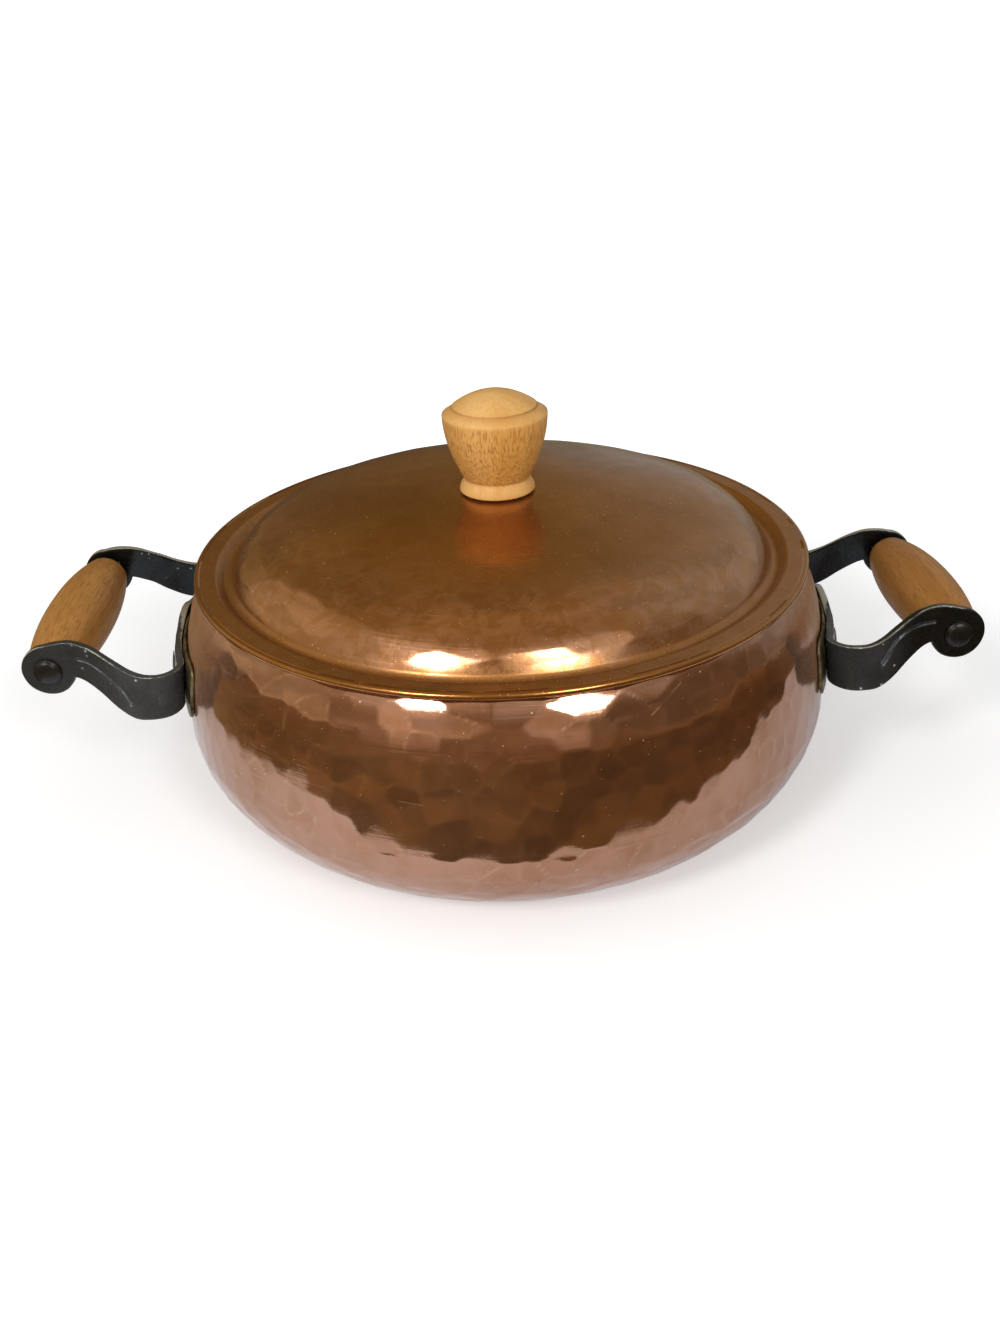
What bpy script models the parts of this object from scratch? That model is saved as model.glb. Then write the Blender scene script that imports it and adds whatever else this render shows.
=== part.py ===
"""Copper casserole pot: a round pot, a domed lid with a wooden knob, and two wooden bar handles.

Metres, +Z up. The origin is the centre of the flat base. The handles stand on +X and -X.
Each handle is built in its own frame, whose X runs outward, whose Y runs along its rod and
whose origin is on the pot's axis at the rod's height.
"""

import math
from dataclasses import dataclass

import bmesh
import bpy
from mathutils import Euler, Matrix, Vector

# Clearances
GAP = 0.0003
LID_PLAY = 0.0016

# Pot body
BASE_RADIUS = 0.0700
BELLY_RADIUS = 0.1184
BELLY_HEIGHT = 0.0415
MOUTH_RADIUS = 0.1056
LIP_HEIGHT = 0.0923
WALL = 0.0016
SHOULDER_SWEEP = 0.968
FOOT_POWER = 1.05

# Lid
LID_SHEET = 0.0012
LID_OVERHANG = 0.0044
BEAD_RADIUS = 0.0013
BEAD_DROP = 0.0007
GROOVE_WIDTH = 0.0068
GROOVE_DEPTH = 0.0029
GROOVE_RADIUS = 0.0024
DOME_FOOT_DROP = 0.0016
DOME_CROWN_RISE = 0.0120
DOME_SHOULDER_RISE = 0.0104
DOME_SHOULDER_POWER = 16.0

# Knob and its screw
KNOB_HEIGHT = 0.0357
KNOB_RADIUS = 0.0184
KNOB_FOOT_RADIUS = 0.0134
KNOB_WAIST_RADIUS = 0.0116
KNOB_WAIST_HEIGHT = 0.0050
KNOB_SHOULDER_HEIGHT = 0.0279
KNOB_CAP_RADIUS = 0.0148
KNOB_CAP_HEIGHT = 0.0051
KNOB_GROOVE = 0.0005
KNOB_BORE_DEPTH = 0.0160
KNOB_CUP_POWER = 0.9
SCREW_RADIUS = 0.0025
SCREW_HEAD_RADIUS = 0.0045
SCREW_HEAD_HEIGHT = 0.0020
WASHER_RADIUS = 0.0080
WASHER_THICKNESS = 0.0012

# Where each rod lies: out from the belly, below the lip, and its tilt towards the back
LEFT_STAND_OFF = 0.0389
LEFT_DROP = 0.0211
LEFT_TILT = 0.0
RIGHT_STAND_OFF = 0.0379
RIGHT_DROP = 0.0247
RIGHT_TILT = math.radians(-4.0)

# Grip and rod
ROD_RADIUS = 0.0032
ROD_HEAD_RADIUS = 0.0048
ROD_HEAD_TOP_RADIUS = 0.0040
ROD_HEAD_HEIGHT = 0.0018
GRIP_LENGTH = 0.0755
GRIP_END_PLAY = 0.0021
GRIP_RADIUS = 0.0119
GRIP_END_RADIUS = 0.0080
GRIP_POWER = 2.2
GRIP_CHAMFER = 0.0008

# Iron bracket: a strap bent to a U, with an eye at each end
STRAP = 0.0026
STRAP_EDGE = 0.0006
STRAP_TOP = -0.0009
STRAP_BOTTOM = -0.0162
BOSS_RISE = 0.0037
BOSS_HALF_WIDTH = 0.0150
CORNER_RADIUS = 0.0094
CORNER_REACH_TOP = 0.04825
CORNER_REACH_BOTTOM = 0.0507
EYE_RADIUS = 0.0092
EYE_THICKNESS = 0.0030
CREST_SETBACK = 0.0070
CREST_HEIGHT = 0.0105
NOTCH_DEPTH = 0.0026
ARM_LEAN = 0.00035
RISE_DELAY_TOP = 0.0010
RISE_DELAY_BOTTOM = 0.0035

# Mount plate between the strap and the pot
PLATE = 0.0012
PLATE_HALF_LENGTH = 0.0470
PLATE_TOP_MARGIN = 0.0020
PLATE_BOTTOM_MARGIN = 0.0040
PLATE_CORNER = 0.0050

# Rivets through the wall, the plate and the strap
RIVET_RADIUS = 0.0025
RIVET_SPACING = 0.0240
RIVET_HEAD_RADIUS = 0.0055
RIVET_HEAD_HEIGHT = 0.0020
RIVET_OUTER_HEAD_RADIUS = 0.0046
RIVET_OUTER_HEAD_HEIGHT = 0.0006

# A domed fastener head breaks at these shares of its radius and height
HEAD_BREAK_RADIUS = 0.7
HEAD_BREAK_HEIGHT = 0.75

# How finely round shapes are divided
POT_STEPS = 48
KNOB_STEPS = 32
EYE_STEPS = 32
GRIP_STEPS = 24
PIN_STEPS = 16
MERGE_DISTANCE = 0.000001
SMOOTH_ANGLE = math.radians(40.0)


@dataclass(frozen=True)
class Handle:
    """One handle: its turn about Z, and where its rod lies.

    The reach is the rod's distance from the pot's axis. The front is 1 or -1, the way along the
    handle's own Y that points to the pot's front (-Y).
    """

    side: str
    turn: float
    reach: float
    rod_height: float
    tilt: float
    front: float


@dataclass(frozen=True)
class Finish:
    """Colour and gloss of one material."""

    name: str
    colour: tuple
    metallic: float
    roughness: float


LEFT = Handle(
    "left", math.pi, BELLY_RADIUS + LEFT_STAND_OFF, LIP_HEIGHT - LEFT_DROP, LEFT_TILT, 1.0
)
RIGHT = Handle(
    "right", 0.0, BELLY_RADIUS + RIGHT_STAND_OFF, LIP_HEIGHT - RIGHT_DROP, RIGHT_TILT, -1.0
)

COPPER = Finish("copper", (0.48, 0.20, 0.08), 1.0, 0.35)
IRON = Finish("iron", (0.045, 0.042, 0.040), 0.6, 0.50)
BRASS = Finish("brass", (0.36, 0.27, 0.12), 1.0, 0.45)
STEEL = Finish("steel", (0.45, 0.45, 0.46), 1.0, 0.35)
PALE_WOOD = Finish("pale_wood", (0.60, 0.34, 0.13), 0.0, 0.55)
BROWN_WOOD = Finish("brown_wood", (0.36, 0.16, 0.05), 0.0, 0.50)


def lerp(start, end, share):
    """Value at a share of the way from start to end."""
    return start + (end - start) * share


def ease(share):
    """Cosine ease from 0 to 1, flat at both ends and held outside them."""
    return 0.5 - 0.5 * math.cos(math.pi * min(max(share, 0.0), 1.0))


def shifted(line, distance):
    """Shift a 2D line to its right by a distance, with its corners mitred."""
    points = [Vector(point) for point in line]
    normals = []
    for start, end in zip(points, points[1:]):
        along = (end - start).normalized()
        normals.append(Vector((along.y, -along.x)))
    result = []
    for point, before, after in zip(points, normals[:1] + normals, normals + normals[-1:]):
        middle = (before + after).normalized()
        result.append(point + middle * (distance / middle.dot(after)))
    return result


def clear_scene():
    """Remove every object and collection that the file opened with."""
    for obj in list(bpy.data.objects):
        bpy.data.objects.remove(obj, do_unlink=True)
    for collection in list(bpy.data.collections):
        bpy.data.collections.remove(collection)


def new_collection(name):
    """Make a collection in the scene."""
    collection = bpy.data.collections.new(name)
    bpy.context.scene.collection.children.link(collection)
    return collection


def make_material(node_name, finish):
    """Make a Principled material for one node."""
    material = bpy.data.materials.new(f"{node_name}_{finish.name}")
    material.use_nodes = True
    shader = material.node_tree.nodes["Principled BSDF"]
    shader.inputs["Base Color"].default_value = (*finish.colour, 1.0)
    shader.inputs["Metallic"].default_value = finish.metallic
    shader.inputs["Roughness"].default_value = finish.roughness
    return material


def add_object(name, mesh, collection, finish=None):
    """Add a mesh to a collection, with its own material unless it is a cutter."""
    obj = bpy.data.objects.new(name, mesh)
    collection.objects.link(obj)
    if finish is None:
        obj.hide_render = True
        obj.display_type = "WIRE"
    else:
        mesh.materials.append(make_material(name, finish))
    return obj


def settle(obj):
    """Apply the object's modifiers and shade it smooth up to SMOOTH_ANGLE."""
    bpy.context.view_layer.update()
    evaluated = obj.evaluated_get(bpy.context.evaluated_depsgraph_get())
    mesh = bpy.data.meshes.new_from_object(evaluated)
    old_mesh = obj.data
    obj.modifiers.clear()
    obj.data = mesh
    bpy.data.meshes.remove(old_mesh)
    mesh.name = obj.name
    mesh.shade_smooth()
    mesh.set_sharp_from_angle(angle=SMOOTH_ANGLE)
    return obj


def turned(name, outline, steps, collection, finish=None, ring=False):
    """Turn an outline of (radius, height) points about Z. A ring's outline closes on itself."""
    mesh = bpy.data.meshes.new(name)
    count = len(outline)
    edges = [(index, index + 1) for index in range(count - 1)]
    if ring:
        edges.append((count - 1, 0))
    mesh.from_pydata([(radius, 0.0, height) for radius, height in outline], edges, [])
    obj = add_object(name, mesh, collection, finish)
    screw = obj.modifiers.new("Turn", "SCREW")
    screw.axis = "Z"
    screw.angle = 2.0 * math.pi
    screw.steps = steps
    screw.render_steps = steps
    screw.use_merge_vertices = True
    screw.merge_threshold = MERGE_DISTANCE
    return settle(obj)


def cylinder(name, radius, length, steps, collection):
    """Make a cylinder along Z, centred on its own origin, to cut or join with."""
    shape = bmesh.new()
    bmesh.ops.create_cone(
        shape, cap_ends=True, segments=steps, radius1=radius, radius2=radius, depth=length
    )
    mesh = bpy.data.meshes.new(name)
    shape.to_mesh(mesh)
    shape.free()
    return add_object(name, mesh, collection)


def combine(obj, other, operation):
    """Add a Boolean modifier that cuts the other object away or joins it on."""
    boolean = obj.modifiers.new(other.name, "BOOLEAN")
    boolean.operation = operation
    boolean.object = other


def wall_radius(height):
    """Outer radius of the pot at a height."""
    if height >= BELLY_HEIGHT:
        share = min(SHOULDER_SWEEP * (height - BELLY_HEIGHT) / (LIP_HEIGHT - BELLY_HEIGHT), 1.0)
        narrowing = 1.0 - math.sqrt(1.0 - share**2)
        full_narrowing = 1.0 - math.sqrt(1.0 - SHOULDER_SWEEP**2)
        return BELLY_RADIUS - (BELLY_RADIUS - MOUTH_RADIUS) * narrowing / full_narrowing
    share = min((BELLY_HEIGHT - height) / BELLY_HEIGHT, 1.0)
    swell = (1.0 - share ** (2.0 / FOOT_POWER)) ** (FOOT_POWER / 2.0)
    return BASE_RADIUS + (BELLY_RADIUS - BASE_RADIUS) * swell


def pot_outline():
    """Outline of the pot's wall, up the inside and down the outside."""
    shoulder_points = 8
    foot_points = 9
    outside = []
    for index in range(shoulder_points):
        angle = math.asin(SHOULDER_SWEEP) * (1.0 - index / shoulder_points)
        height = lerp(BELLY_HEIGHT, LIP_HEIGHT, math.sin(angle) / SHOULDER_SWEEP)
        outside.append((wall_radius(height), height))
    for index in range(foot_points):
        height = BELLY_HEIGHT * (1.0 - math.sin(0.5 * math.pi * index / foot_points) ** FOOT_POWER)
        outside.append((wall_radius(height), height))
    outside.append((BASE_RADIUS, 0.0))
    outside.append((0.0, 0.0))
    rim_inside = (MOUTH_RADIUS - WALL, LIP_HEIGHT)
    inside = [tuple(point) for point in shifted(outside, WALL)[1:]]
    return inside[::-1] + [rim_inside] + outside


def groove_edge():
    """Radius where the lid's flange turns down into its groove."""
    return MOUTH_RADIUS - WALL - LID_PLAY


def dome_radius():
    """Radius of the foot of the lid's dome."""
    return groove_edge() - GROOVE_WIDTH


def flange_top():
    """Height of the top of the lid's flange."""
    return LIP_HEIGHT + GAP + LID_SHEET


def dome_height(radius):
    """Height of the top of the lid's dome at a radius: a low crown on a tight shoulder."""
    foot = flange_top() - DOME_FOOT_DROP
    share = radius / dome_radius()
    crown = DOME_CROWN_RISE * (1.0 - share**2)
    return foot + crown + DOME_SHOULDER_RISE * (1.0 - share**DOME_SHOULDER_POWER)


def lid_outline():
    """Outline of the lid's sheet, out along its top, round the bead and back along its underside."""
    dome_points = 13
    hole_radius = SCREW_RADIUS + GAP
    top = [(hole_radius, dome_height(hole_radius))]
    for index in range(1, dome_points + 1):
        radius = dome_radius() * math.sin(0.5 * math.pi * index / dome_points)
        top.append((radius, dome_height(radius)))
    groove_centre = dome_radius() + GROOVE_RADIUS
    groove_floor = flange_top() - GROOVE_DEPTH
    floor_arc_degrees = (235.0, 270.0, 305.0)
    for degrees in floor_arc_degrees:
        angle = math.radians(degrees)
        radius = groove_centre + GROOVE_RADIUS * math.cos(angle)
        top.append((radius, groove_floor + GROOVE_RADIUS * (1.0 + math.sin(angle))))
    top.append((groove_edge(), flange_top()))
    bead_centre = MOUTH_RADIUS + LID_OVERHANG - BEAD_RADIUS
    bead_height = flange_top() - BEAD_DROP
    start = math.pi - math.asin(BEAD_DROP / BEAD_RADIUS)
    end = -math.pi + math.asin((LID_SHEET - BEAD_DROP) / BEAD_RADIUS)
    bead = []
    bead_points = 8
    for index in range(bead_points):
        angle = lerp(start, end, index / (bead_points - 1))
        radius = bead_centre + BEAD_RADIUS * math.cos(angle)
        bead.append((radius, bead_height + BEAD_RADIUS * math.sin(angle)))
    underside = [tuple(point) for point in shifted(top, LID_SHEET)]
    return top + bead + underside[::-1]


def knob_outline():
    """Outline of the knob from the middle of its cap down its side, and up its blind bore."""
    cap_points = 6
    cup_points = 6
    cap_base = KNOB_HEIGHT - KNOB_CAP_HEIGHT
    outline = []
    for index in range(cap_points):
        share = index / (cap_points - 1)
        outline.append((KNOB_CAP_RADIUS * share, cap_base + KNOB_CAP_HEIGHT * (1.0 - share**2)))
    outline.append((KNOB_CAP_RADIUS - KNOB_GROOVE, cap_base - 0.5 * KNOB_GROOVE))
    outline.append((KNOB_CAP_RADIUS, cap_base - KNOB_GROOVE))
    for index in range(cup_points, -1, -1):
        share = index / cup_points
        swell = math.sin(0.5 * math.pi * share) ** KNOB_CUP_POWER
        height = lerp(KNOB_WAIST_HEIGHT, KNOB_SHOULDER_HEIGHT, share)
        outline.append((lerp(KNOB_WAIST_RADIUS, KNOB_RADIUS, swell), height))
    outline.append((KNOB_FOOT_RADIUS, 0.0))
    bore_radius = SCREW_RADIUS + GAP
    outline.append((bore_radius, 0.0))
    outline.append((bore_radius, KNOB_BORE_DEPTH))
    outline.append((0.0, KNOB_BORE_DEPTH))
    return outline


def domed_head(radius, seat, height):
    """Outline of a fastener's domed head from the edge of its seat to its middle.

    A negative height makes the head stand downward.
    """
    return [
        (radius, seat),
        (HEAD_BREAK_RADIUS * radius, seat + HEAD_BREAK_HEIGHT * height),
        (0.0, seat + height),
    ]


def build_pot(parts):
    """Build the pot's body."""
    return turned("pot_body", pot_outline(), POT_STEPS, parts, COPPER)


def build_lid(parts):
    """Build the lid, its knob, and the screw and washer that hold the knob from below."""
    turned("lid", lid_outline(), POT_STEPS, parts, COPPER, ring=True)
    lid_top = dome_height(0.0)
    knob = turned("knob", knob_outline(), KNOB_STEPS, parts, PALE_WOOD)
    knob.location.z = lid_top + GAP

    washer_top = lid_top - LID_SHEET - GAP
    hole_radius = SCREW_RADIUS + GAP
    washer_outline = [
        (WASHER_RADIUS, 0.0),
        (WASHER_RADIUS, -WASHER_THICKNESS),
        (hole_radius, -WASHER_THICKNESS),
        (hole_radius, 0.0),
    ]
    washer = turned("knob_washer", washer_outline, KNOB_STEPS, parts, STEEL, ring=True)
    washer.location.z = washer_top

    head_top = washer_top - WASHER_THICKNESS - GAP
    tip = knob.location.z + KNOB_BORE_DEPTH - GAP - head_top
    screw_outline = [
        (0.0, tip),
        (SCREW_RADIUS, tip),
        (SCREW_RADIUS, 0.0),
        *domed_head(SCREW_HEAD_RADIUS, 0.0, -SCREW_HEAD_HEIGHT),
    ]
    screw = turned("knob_screw", screw_outline, PIN_STEPS, parts, STEEL)
    screw.location.z = head_top


def seat_x(handle, y, z, offset):
    """X in the handle's frame of the point at (y, z) that lies at an offset from the pot's wall."""
    around = y * math.cos(handle.tilt) - z * math.sin(handle.tilt)
    height = handle.rod_height + y * math.sin(handle.tilt) + z * math.cos(handle.tilt)
    return math.sqrt((wall_radius(height) + offset) ** 2 - around**2)


def eye_middle():
    """Distance from the handle's middle to the middle of an eye's thickness, along the rod."""
    return 0.5 * (GRIP_LENGTH + GRIP_END_PLAY) + GAP + 0.5 * EYE_THICKNESS


def half_rail(handle, level, side):
    """Outside of half the strap at one level, 0 at its bottom edge and 1 at its top edge.

    It runs from the middle of the back, along the wall, round the corner and out to the eye.
    The side is 1 or -1, for the half at +Y or at -Y.
    """
    back_steps = 8
    corner_steps = 6
    arm_steps = 9
    eye_steps = 4
    tip_angle = math.radians(75.0)
    seat_share = 0.8
    offset = GAP + PLATE + GAP
    low = lerp(STRAP_BOTTOM, STRAP_TOP, level)
    corner_reach = lerp(CORNER_REACH_BOTTOM, CORNER_REACH_TOP, level)
    near_corner = side * seat_share * corner_reach
    seat_radius = math.hypot(seat_x(handle, near_corner, low, offset), near_corner)
    turn = math.asin((corner_reach - CORNER_RADIUS) / (seat_radius + CORNER_RADIUS))
    back_half = seat_radius * math.sin(turn)

    points = []
    for step in range(back_steps + 1):
        y = back_half * step / back_steps
        boss = BOSS_RISE * (1.0 - ease(y / BOSS_HALF_WIDTH))
        z = low + boss * level
        points.append(Vector((seat_x(handle, side * y, z, offset), side * y, z)))

    outward = Vector((points[-1].x, side * points[-1].y)).normalized()
    centre = Vector((points[-1].x, side * points[-1].y)) + outward * CORNER_RADIUS
    start_angle = math.pi + math.atan2(outward.y, outward.x)
    for step in range(1, corner_steps + 1):
        angle = lerp(start_angle, 0.5 * math.pi, step / corner_steps)
        x = centre.x + CORNER_RADIUS * math.cos(angle)
        y = centre.y + CORNER_RADIUS * math.sin(angle)
        points.append(Vector((x, side * y, low)))

    arm_start = centre.x
    arm_side = centre.y + CORNER_RADIUS
    arm_end = handle.reach - CREST_SETBACK
    end_side = eye_middle() + 0.5 * STRAP
    rise_start = arm_start + lerp(RISE_DELAY_BOTTOM, RISE_DELAY_TOP, level)
    high = lerp(-NOTCH_DEPTH, CREST_HEIGHT, level)
    lean = ARM_LEAN * (1.0 - 2.0 * level)
    for step in range(1, arm_steps + 1):
        x = lerp(arm_start, arm_end, step / arm_steps)
        y = lerp(arm_side, end_side + lean, ease(step / arm_steps))
        z = lerp(low, high, ease((x - rise_start) / (arm_end - rise_start)))
        points.append(Vector((x, side * y, z)))

    for step in range(1, eye_steps + 1):
        angle = tip_angle * step / eye_steps
        x = arm_end + (CREST_SETBACK + EYE_RADIUS) * math.sin(angle)
        z = lerp(-NOTCH_DEPTH, CREST_HEIGHT * math.cos(angle), level)
        points.append(Vector((x, side * end_side, z)))
    return points


def strap_level(handle, level, inset):
    """Outside and inside lines of the whole strap at one level, each drawn in by an inset."""
    rail = half_rail(handle, level, -1.0)[:0:-1] + half_rail(handle, level, 1.0)
    plan = [point.xy for point in rail]
    outside = shifted(plan, inset)
    inside = shifted(plan, STRAP - inset)
    lift = [(point.z,) for point in rail]
    outside_points = [Vector((*xy, *z)) for xy, z in zip(outside, lift)]
    inside_points = [Vector((*xy, *z)) for xy, z in zip(inside, lift)]
    return outside_points, inside_points


def build_strap_mesh(handle, name):
    """Loft the strap from eye to eye, with chamfered edges along its top and bottom."""
    edge_share = STRAP_EDGE / (STRAP_TOP - STRAP_BOTTOM)
    levels = [
        (0.0, STRAP_EDGE),
        (edge_share, 0.0),
        (0.5, 0.0),
        (1.0 - edge_share, 0.0),
        (1.0, STRAP_EDGE),
    ]
    lines = [strap_level(handle, level, inset) for level, inset in levels]
    loops = [outside for outside, inside in lines] + [inside for outside, inside in lines[::-1]]
    shape = bmesh.new()
    sections = [[shape.verts.new(point) for point in section] for section in zip(*loops)]
    for section, following in zip(sections, sections[1:]):
        for index in range(len(section)):
            after = (index + 1) % len(section)
            shape.faces.new((section[index], section[after], following[after], following[index]))
    shape.faces.new(sections[0][::-1])
    shape.faces.new(sections[-1])
    bmesh.ops.recalc_face_normals(shape, faces=shape.faces)
    mesh = bpy.data.meshes.new(name)
    shape.to_mesh(mesh)
    shape.free()
    mesh.shade_smooth()
    mesh.set_sharp_from_angle(angle=SMOOTH_ANGLE)
    return mesh


def build_plate_mesh(handle, name):
    """Bend a sheet with rounded corners to the pot's wall, as an open surface."""
    columns = 14
    rows = 3
    top = STRAP_TOP + PLATE_TOP_MARGIN
    bottom = STRAP_BOTTOM - PLATE_BOTTOM_MARGIN
    middle = 0.5 * (top + bottom)
    half_height = 0.5 * (top - bottom)
    shape = bmesh.new()
    bmesh.ops.create_grid(shape, x_segments=columns, y_segments=rows, size=1.0)
    for vert in shape.verts:
        y = PLATE_HALF_LENGTH * math.sin(0.5 * math.pi * vert.co.x)
        past_corner = max(abs(y) - (PLATE_HALF_LENGTH - PLATE_CORNER), 0.0)
        cut_away = PLATE_CORNER - math.sqrt(max(PLATE_CORNER**2 - past_corner**2, 0.0))
        z = middle + vert.co.y * (half_height - cut_away)
        vert.co = (seat_x(handle, y, z, GAP), y, z)
    bmesh.ops.recalc_face_normals(shape, faces=shape.faces)
    if sum(face.normal.x for face in shape.faces) < 0.0:
        bmesh.ops.reverse_faces(shape, faces=shape.faces)
    mesh = bpy.data.meshes.new(name)
    shape.to_mesh(mesh)
    shape.free()
    return mesh


def rivet_matrix(handle, y):
    """Place of a rivet in the handle's frame: its origin on the wall's outside, its Z outward."""
    step = 0.001
    z = 0.5 * (STRAP_TOP + STRAP_BOTTOM)
    slope_y = (seat_x(handle, y + step, z, 0.0) - seat_x(handle, y - step, z, 0.0)) / (2.0 * step)
    slope_z = (seat_x(handle, y, z + step, 0.0) - seat_x(handle, y, z - step, 0.0)) / (2.0 * step)
    outward = Vector((1.0, -slope_y, -slope_z))
    turn = outward.to_track_quat("Z", "Y").to_matrix().to_4x4()
    return Matrix.Translation((seat_x(handle, y, z, 0.0), y, z)) @ turn


def facet_depth():
    """How far the middle of a flat facet of the pot's wall lies inside the true circle."""
    return BELLY_RADIUS * (1.0 - math.cos(math.pi / POT_STEPS))


def rivet_outline():
    """Outline of a rivet from its outer head down to its domed head inside the pot."""
    outer_seat = GAP + PLATE + GAP + STRAP + GAP
    inner_seat = -WALL - GAP - facet_depth()
    return [
        *domed_head(RIVET_OUTER_HEAD_RADIUS, outer_seat, RIVET_OUTER_HEAD_HEIGHT)[::-1],
        (RIVET_RADIUS, outer_seat),
        (RIVET_RADIUS, inner_seat),
        *domed_head(RIVET_HEAD_RADIUS, inner_seat, -RIVET_HEAD_HEIGHT),
    ]


def grip_outline():
    """Outline of the barrel grip down its outside, closing up its bore."""
    barrel_points = 10
    half = 0.5 * GRIP_LENGTH
    barrel_half = half - GRIP_CHAMFER
    bore_radius = ROD_RADIUS + GAP
    outline = [(GRIP_END_RADIUS - GRIP_CHAMFER, half)]
    for index in range(barrel_points + 1):
        share = 1.0 - 2.0 * index / barrel_points
        swell = 1.0 - abs(share) ** GRIP_POWER
        outline.append((lerp(GRIP_END_RADIUS, GRIP_RADIUS, swell), barrel_half * share))
    outline.append((GRIP_END_RADIUS - GRIP_CHAMFER, -half))
    outline.append((bore_radius, -half))
    outline.append((bore_radius, half))
    return outline


def rod_outline():
    """Outline of the rod with a conical head outside each eye."""
    seat = eye_middle() + 0.5 * EYE_THICKNESS + GAP
    end = seat + ROD_HEAD_HEIGHT
    return [
        (0.0, end),
        (ROD_HEAD_TOP_RADIUS, end),
        (ROD_HEAD_RADIUS, seat),
        (ROD_RADIUS, seat),
        (ROD_RADIUS, -seat),
        (ROD_HEAD_RADIUS, -seat),
        (ROD_HEAD_TOP_RADIUS, -end),
        (0.0, -end),
    ]


def place(obj, anchor, matrix):
    """Hang an object on a handle's anchor at a place in the handle's frame."""
    obj.parent = anchor
    obj.matrix_local = matrix


def build_handle(handle, pot, parts, cutters):
    """Build one handle: bracket, mount plate, rivets, rod and grip."""
    anchor = bpy.data.objects.new(f"{handle.side}_handle_anchor", None)
    anchor.location = (0.0, 0.0, handle.rod_height)
    turn = Matrix.Rotation(handle.turn, 4, "Z") @ Matrix.Rotation(handle.tilt, 4, "X")
    anchor.rotation_euler = turn.to_euler()
    parts.objects.link(anchor)

    bracket_name = f"{handle.side}_bracket"
    bracket = add_object(bracket_name, build_strap_mesh(handle, bracket_name), parts, IRON)
    place(bracket, anchor, Matrix.Identity(4))
    along_rod = Euler((-0.5 * math.pi, 0.0, 0.0)).to_matrix().to_4x4()
    for end, side in (("back", 1.0), ("front", -1.0)):
        eye = cylinder(
            f"{handle.side}_eye_{end}", EYE_RADIUS, EYE_THICKNESS, EYE_STEPS, cutters
        )
        place(eye, anchor, Matrix.Translation((handle.reach, side * eye_middle(), 0.0)) @ along_rod)
        combine(bracket, eye, "UNION")
    rod_place = Matrix.Translation((handle.reach, 0.0, 0.0)) @ along_rod
    rod_hole_length = 2.0 * (eye_middle() + EYE_THICKNESS)
    rod_hole = cylinder(
        f"{handle.side}_rod_hole", ROD_RADIUS + GAP, rod_hole_length, PIN_STEPS, cutters
    )
    place(rod_hole, anchor, rod_place)
    combine(bracket, rod_hole, "DIFFERENCE")

    plate_name = f"{handle.side}_mount_plate"
    plate = add_object(plate_name, build_plate_mesh(handle, plate_name), parts, BRASS)
    place(plate, anchor, Matrix.Identity(4))
    sheet = plate.modifiers.new("Sheet", "SOLIDIFY")
    sheet.thickness = PLATE
    sheet.offset = 1.0

    hole_reach = 2.0 * (WALL + PLATE + STRAP)
    for number, y in enumerate((-RIVET_SPACING, 0.0, RIVET_SPACING), start=1):
        rivet_place = rivet_matrix(handle, y)
        rivet = turned(f"{handle.side}_rivet_{number}", rivet_outline(), PIN_STEPS, parts, IRON)
        place(rivet, anchor, rivet_place)
        hole_name = f"{handle.side}_rivet_hole_{number}"
        hole = cylinder(hole_name, RIVET_RADIUS + GAP, 2.0 * hole_reach, PIN_STEPS, cutters)
        place(hole, anchor, rivet_place)
        for pierced in (pot, plate, bracket):
            combine(pierced, hole, "DIFFERENCE")

    rod = turned(f"{handle.side}_grip_rod", rod_outline(), PIN_STEPS, parts, IRON)
    place(rod, anchor, rod_place)
    grip = turned(f"{handle.side}_grip", grip_outline(), GRIP_STEPS, parts, BROWN_WOOD, ring=True)
    slid_to_front = Matrix.Translation((0.0, 0.5 * GRIP_END_PLAY * handle.front, 0.0))
    place(grip, anchor, slid_to_front @ rod_place)


def main():
    """Build the whole pot."""
    clear_scene()
    parts = new_collection("copper_casserole_pot")
    cutters = new_collection("cutters")
    pot = build_pot(parts)
    build_lid(parts)
    for handle in (LEFT, RIGHT):
        build_handle(handle, pot, parts, cutters)


main()
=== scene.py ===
"""Looks of a copper casserole pot: hammered copper, turned wood and black iron.

Metres, +Z up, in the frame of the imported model: the origin is the centre of the flat base, the
handles stand on +X and -X, and the front faces -Y. Each handle has its own frame, whose X runs
outward, whose Y runs along its rod and whose origin is on the pot's axis at the rod's height.
"""

from __future__ import annotations

import logging
import math
from dataclasses import dataclass, replace
from enum import Enum

import bmesh
import bpy
import numpy as np
from mathutils import Matrix, Vector


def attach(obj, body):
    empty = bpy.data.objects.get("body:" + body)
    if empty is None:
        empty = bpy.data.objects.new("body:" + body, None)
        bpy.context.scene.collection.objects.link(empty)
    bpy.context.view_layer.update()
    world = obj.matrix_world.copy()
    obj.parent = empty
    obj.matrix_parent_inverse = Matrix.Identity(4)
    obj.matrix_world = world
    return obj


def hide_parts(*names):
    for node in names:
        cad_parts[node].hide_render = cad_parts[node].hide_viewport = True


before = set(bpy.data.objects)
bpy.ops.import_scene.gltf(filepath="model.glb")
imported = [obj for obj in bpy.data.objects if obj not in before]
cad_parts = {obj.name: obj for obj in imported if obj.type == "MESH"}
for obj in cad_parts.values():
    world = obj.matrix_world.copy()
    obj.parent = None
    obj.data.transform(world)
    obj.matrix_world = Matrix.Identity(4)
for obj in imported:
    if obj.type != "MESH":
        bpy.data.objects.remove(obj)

LOG = logging.getLogger("casserole")
Array = np.ndarray
Colour = tuple[float, float, float]
Triple = tuple[float, float, float]
Outline = tuple[tuple[float, float], ...]
Marks = dict[str, Array]
Socket = bpy.types.NodeSocket

IMAGE_SIZE = (1000, 1333)
FOCAL_PIXELS = 1230.0

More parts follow.
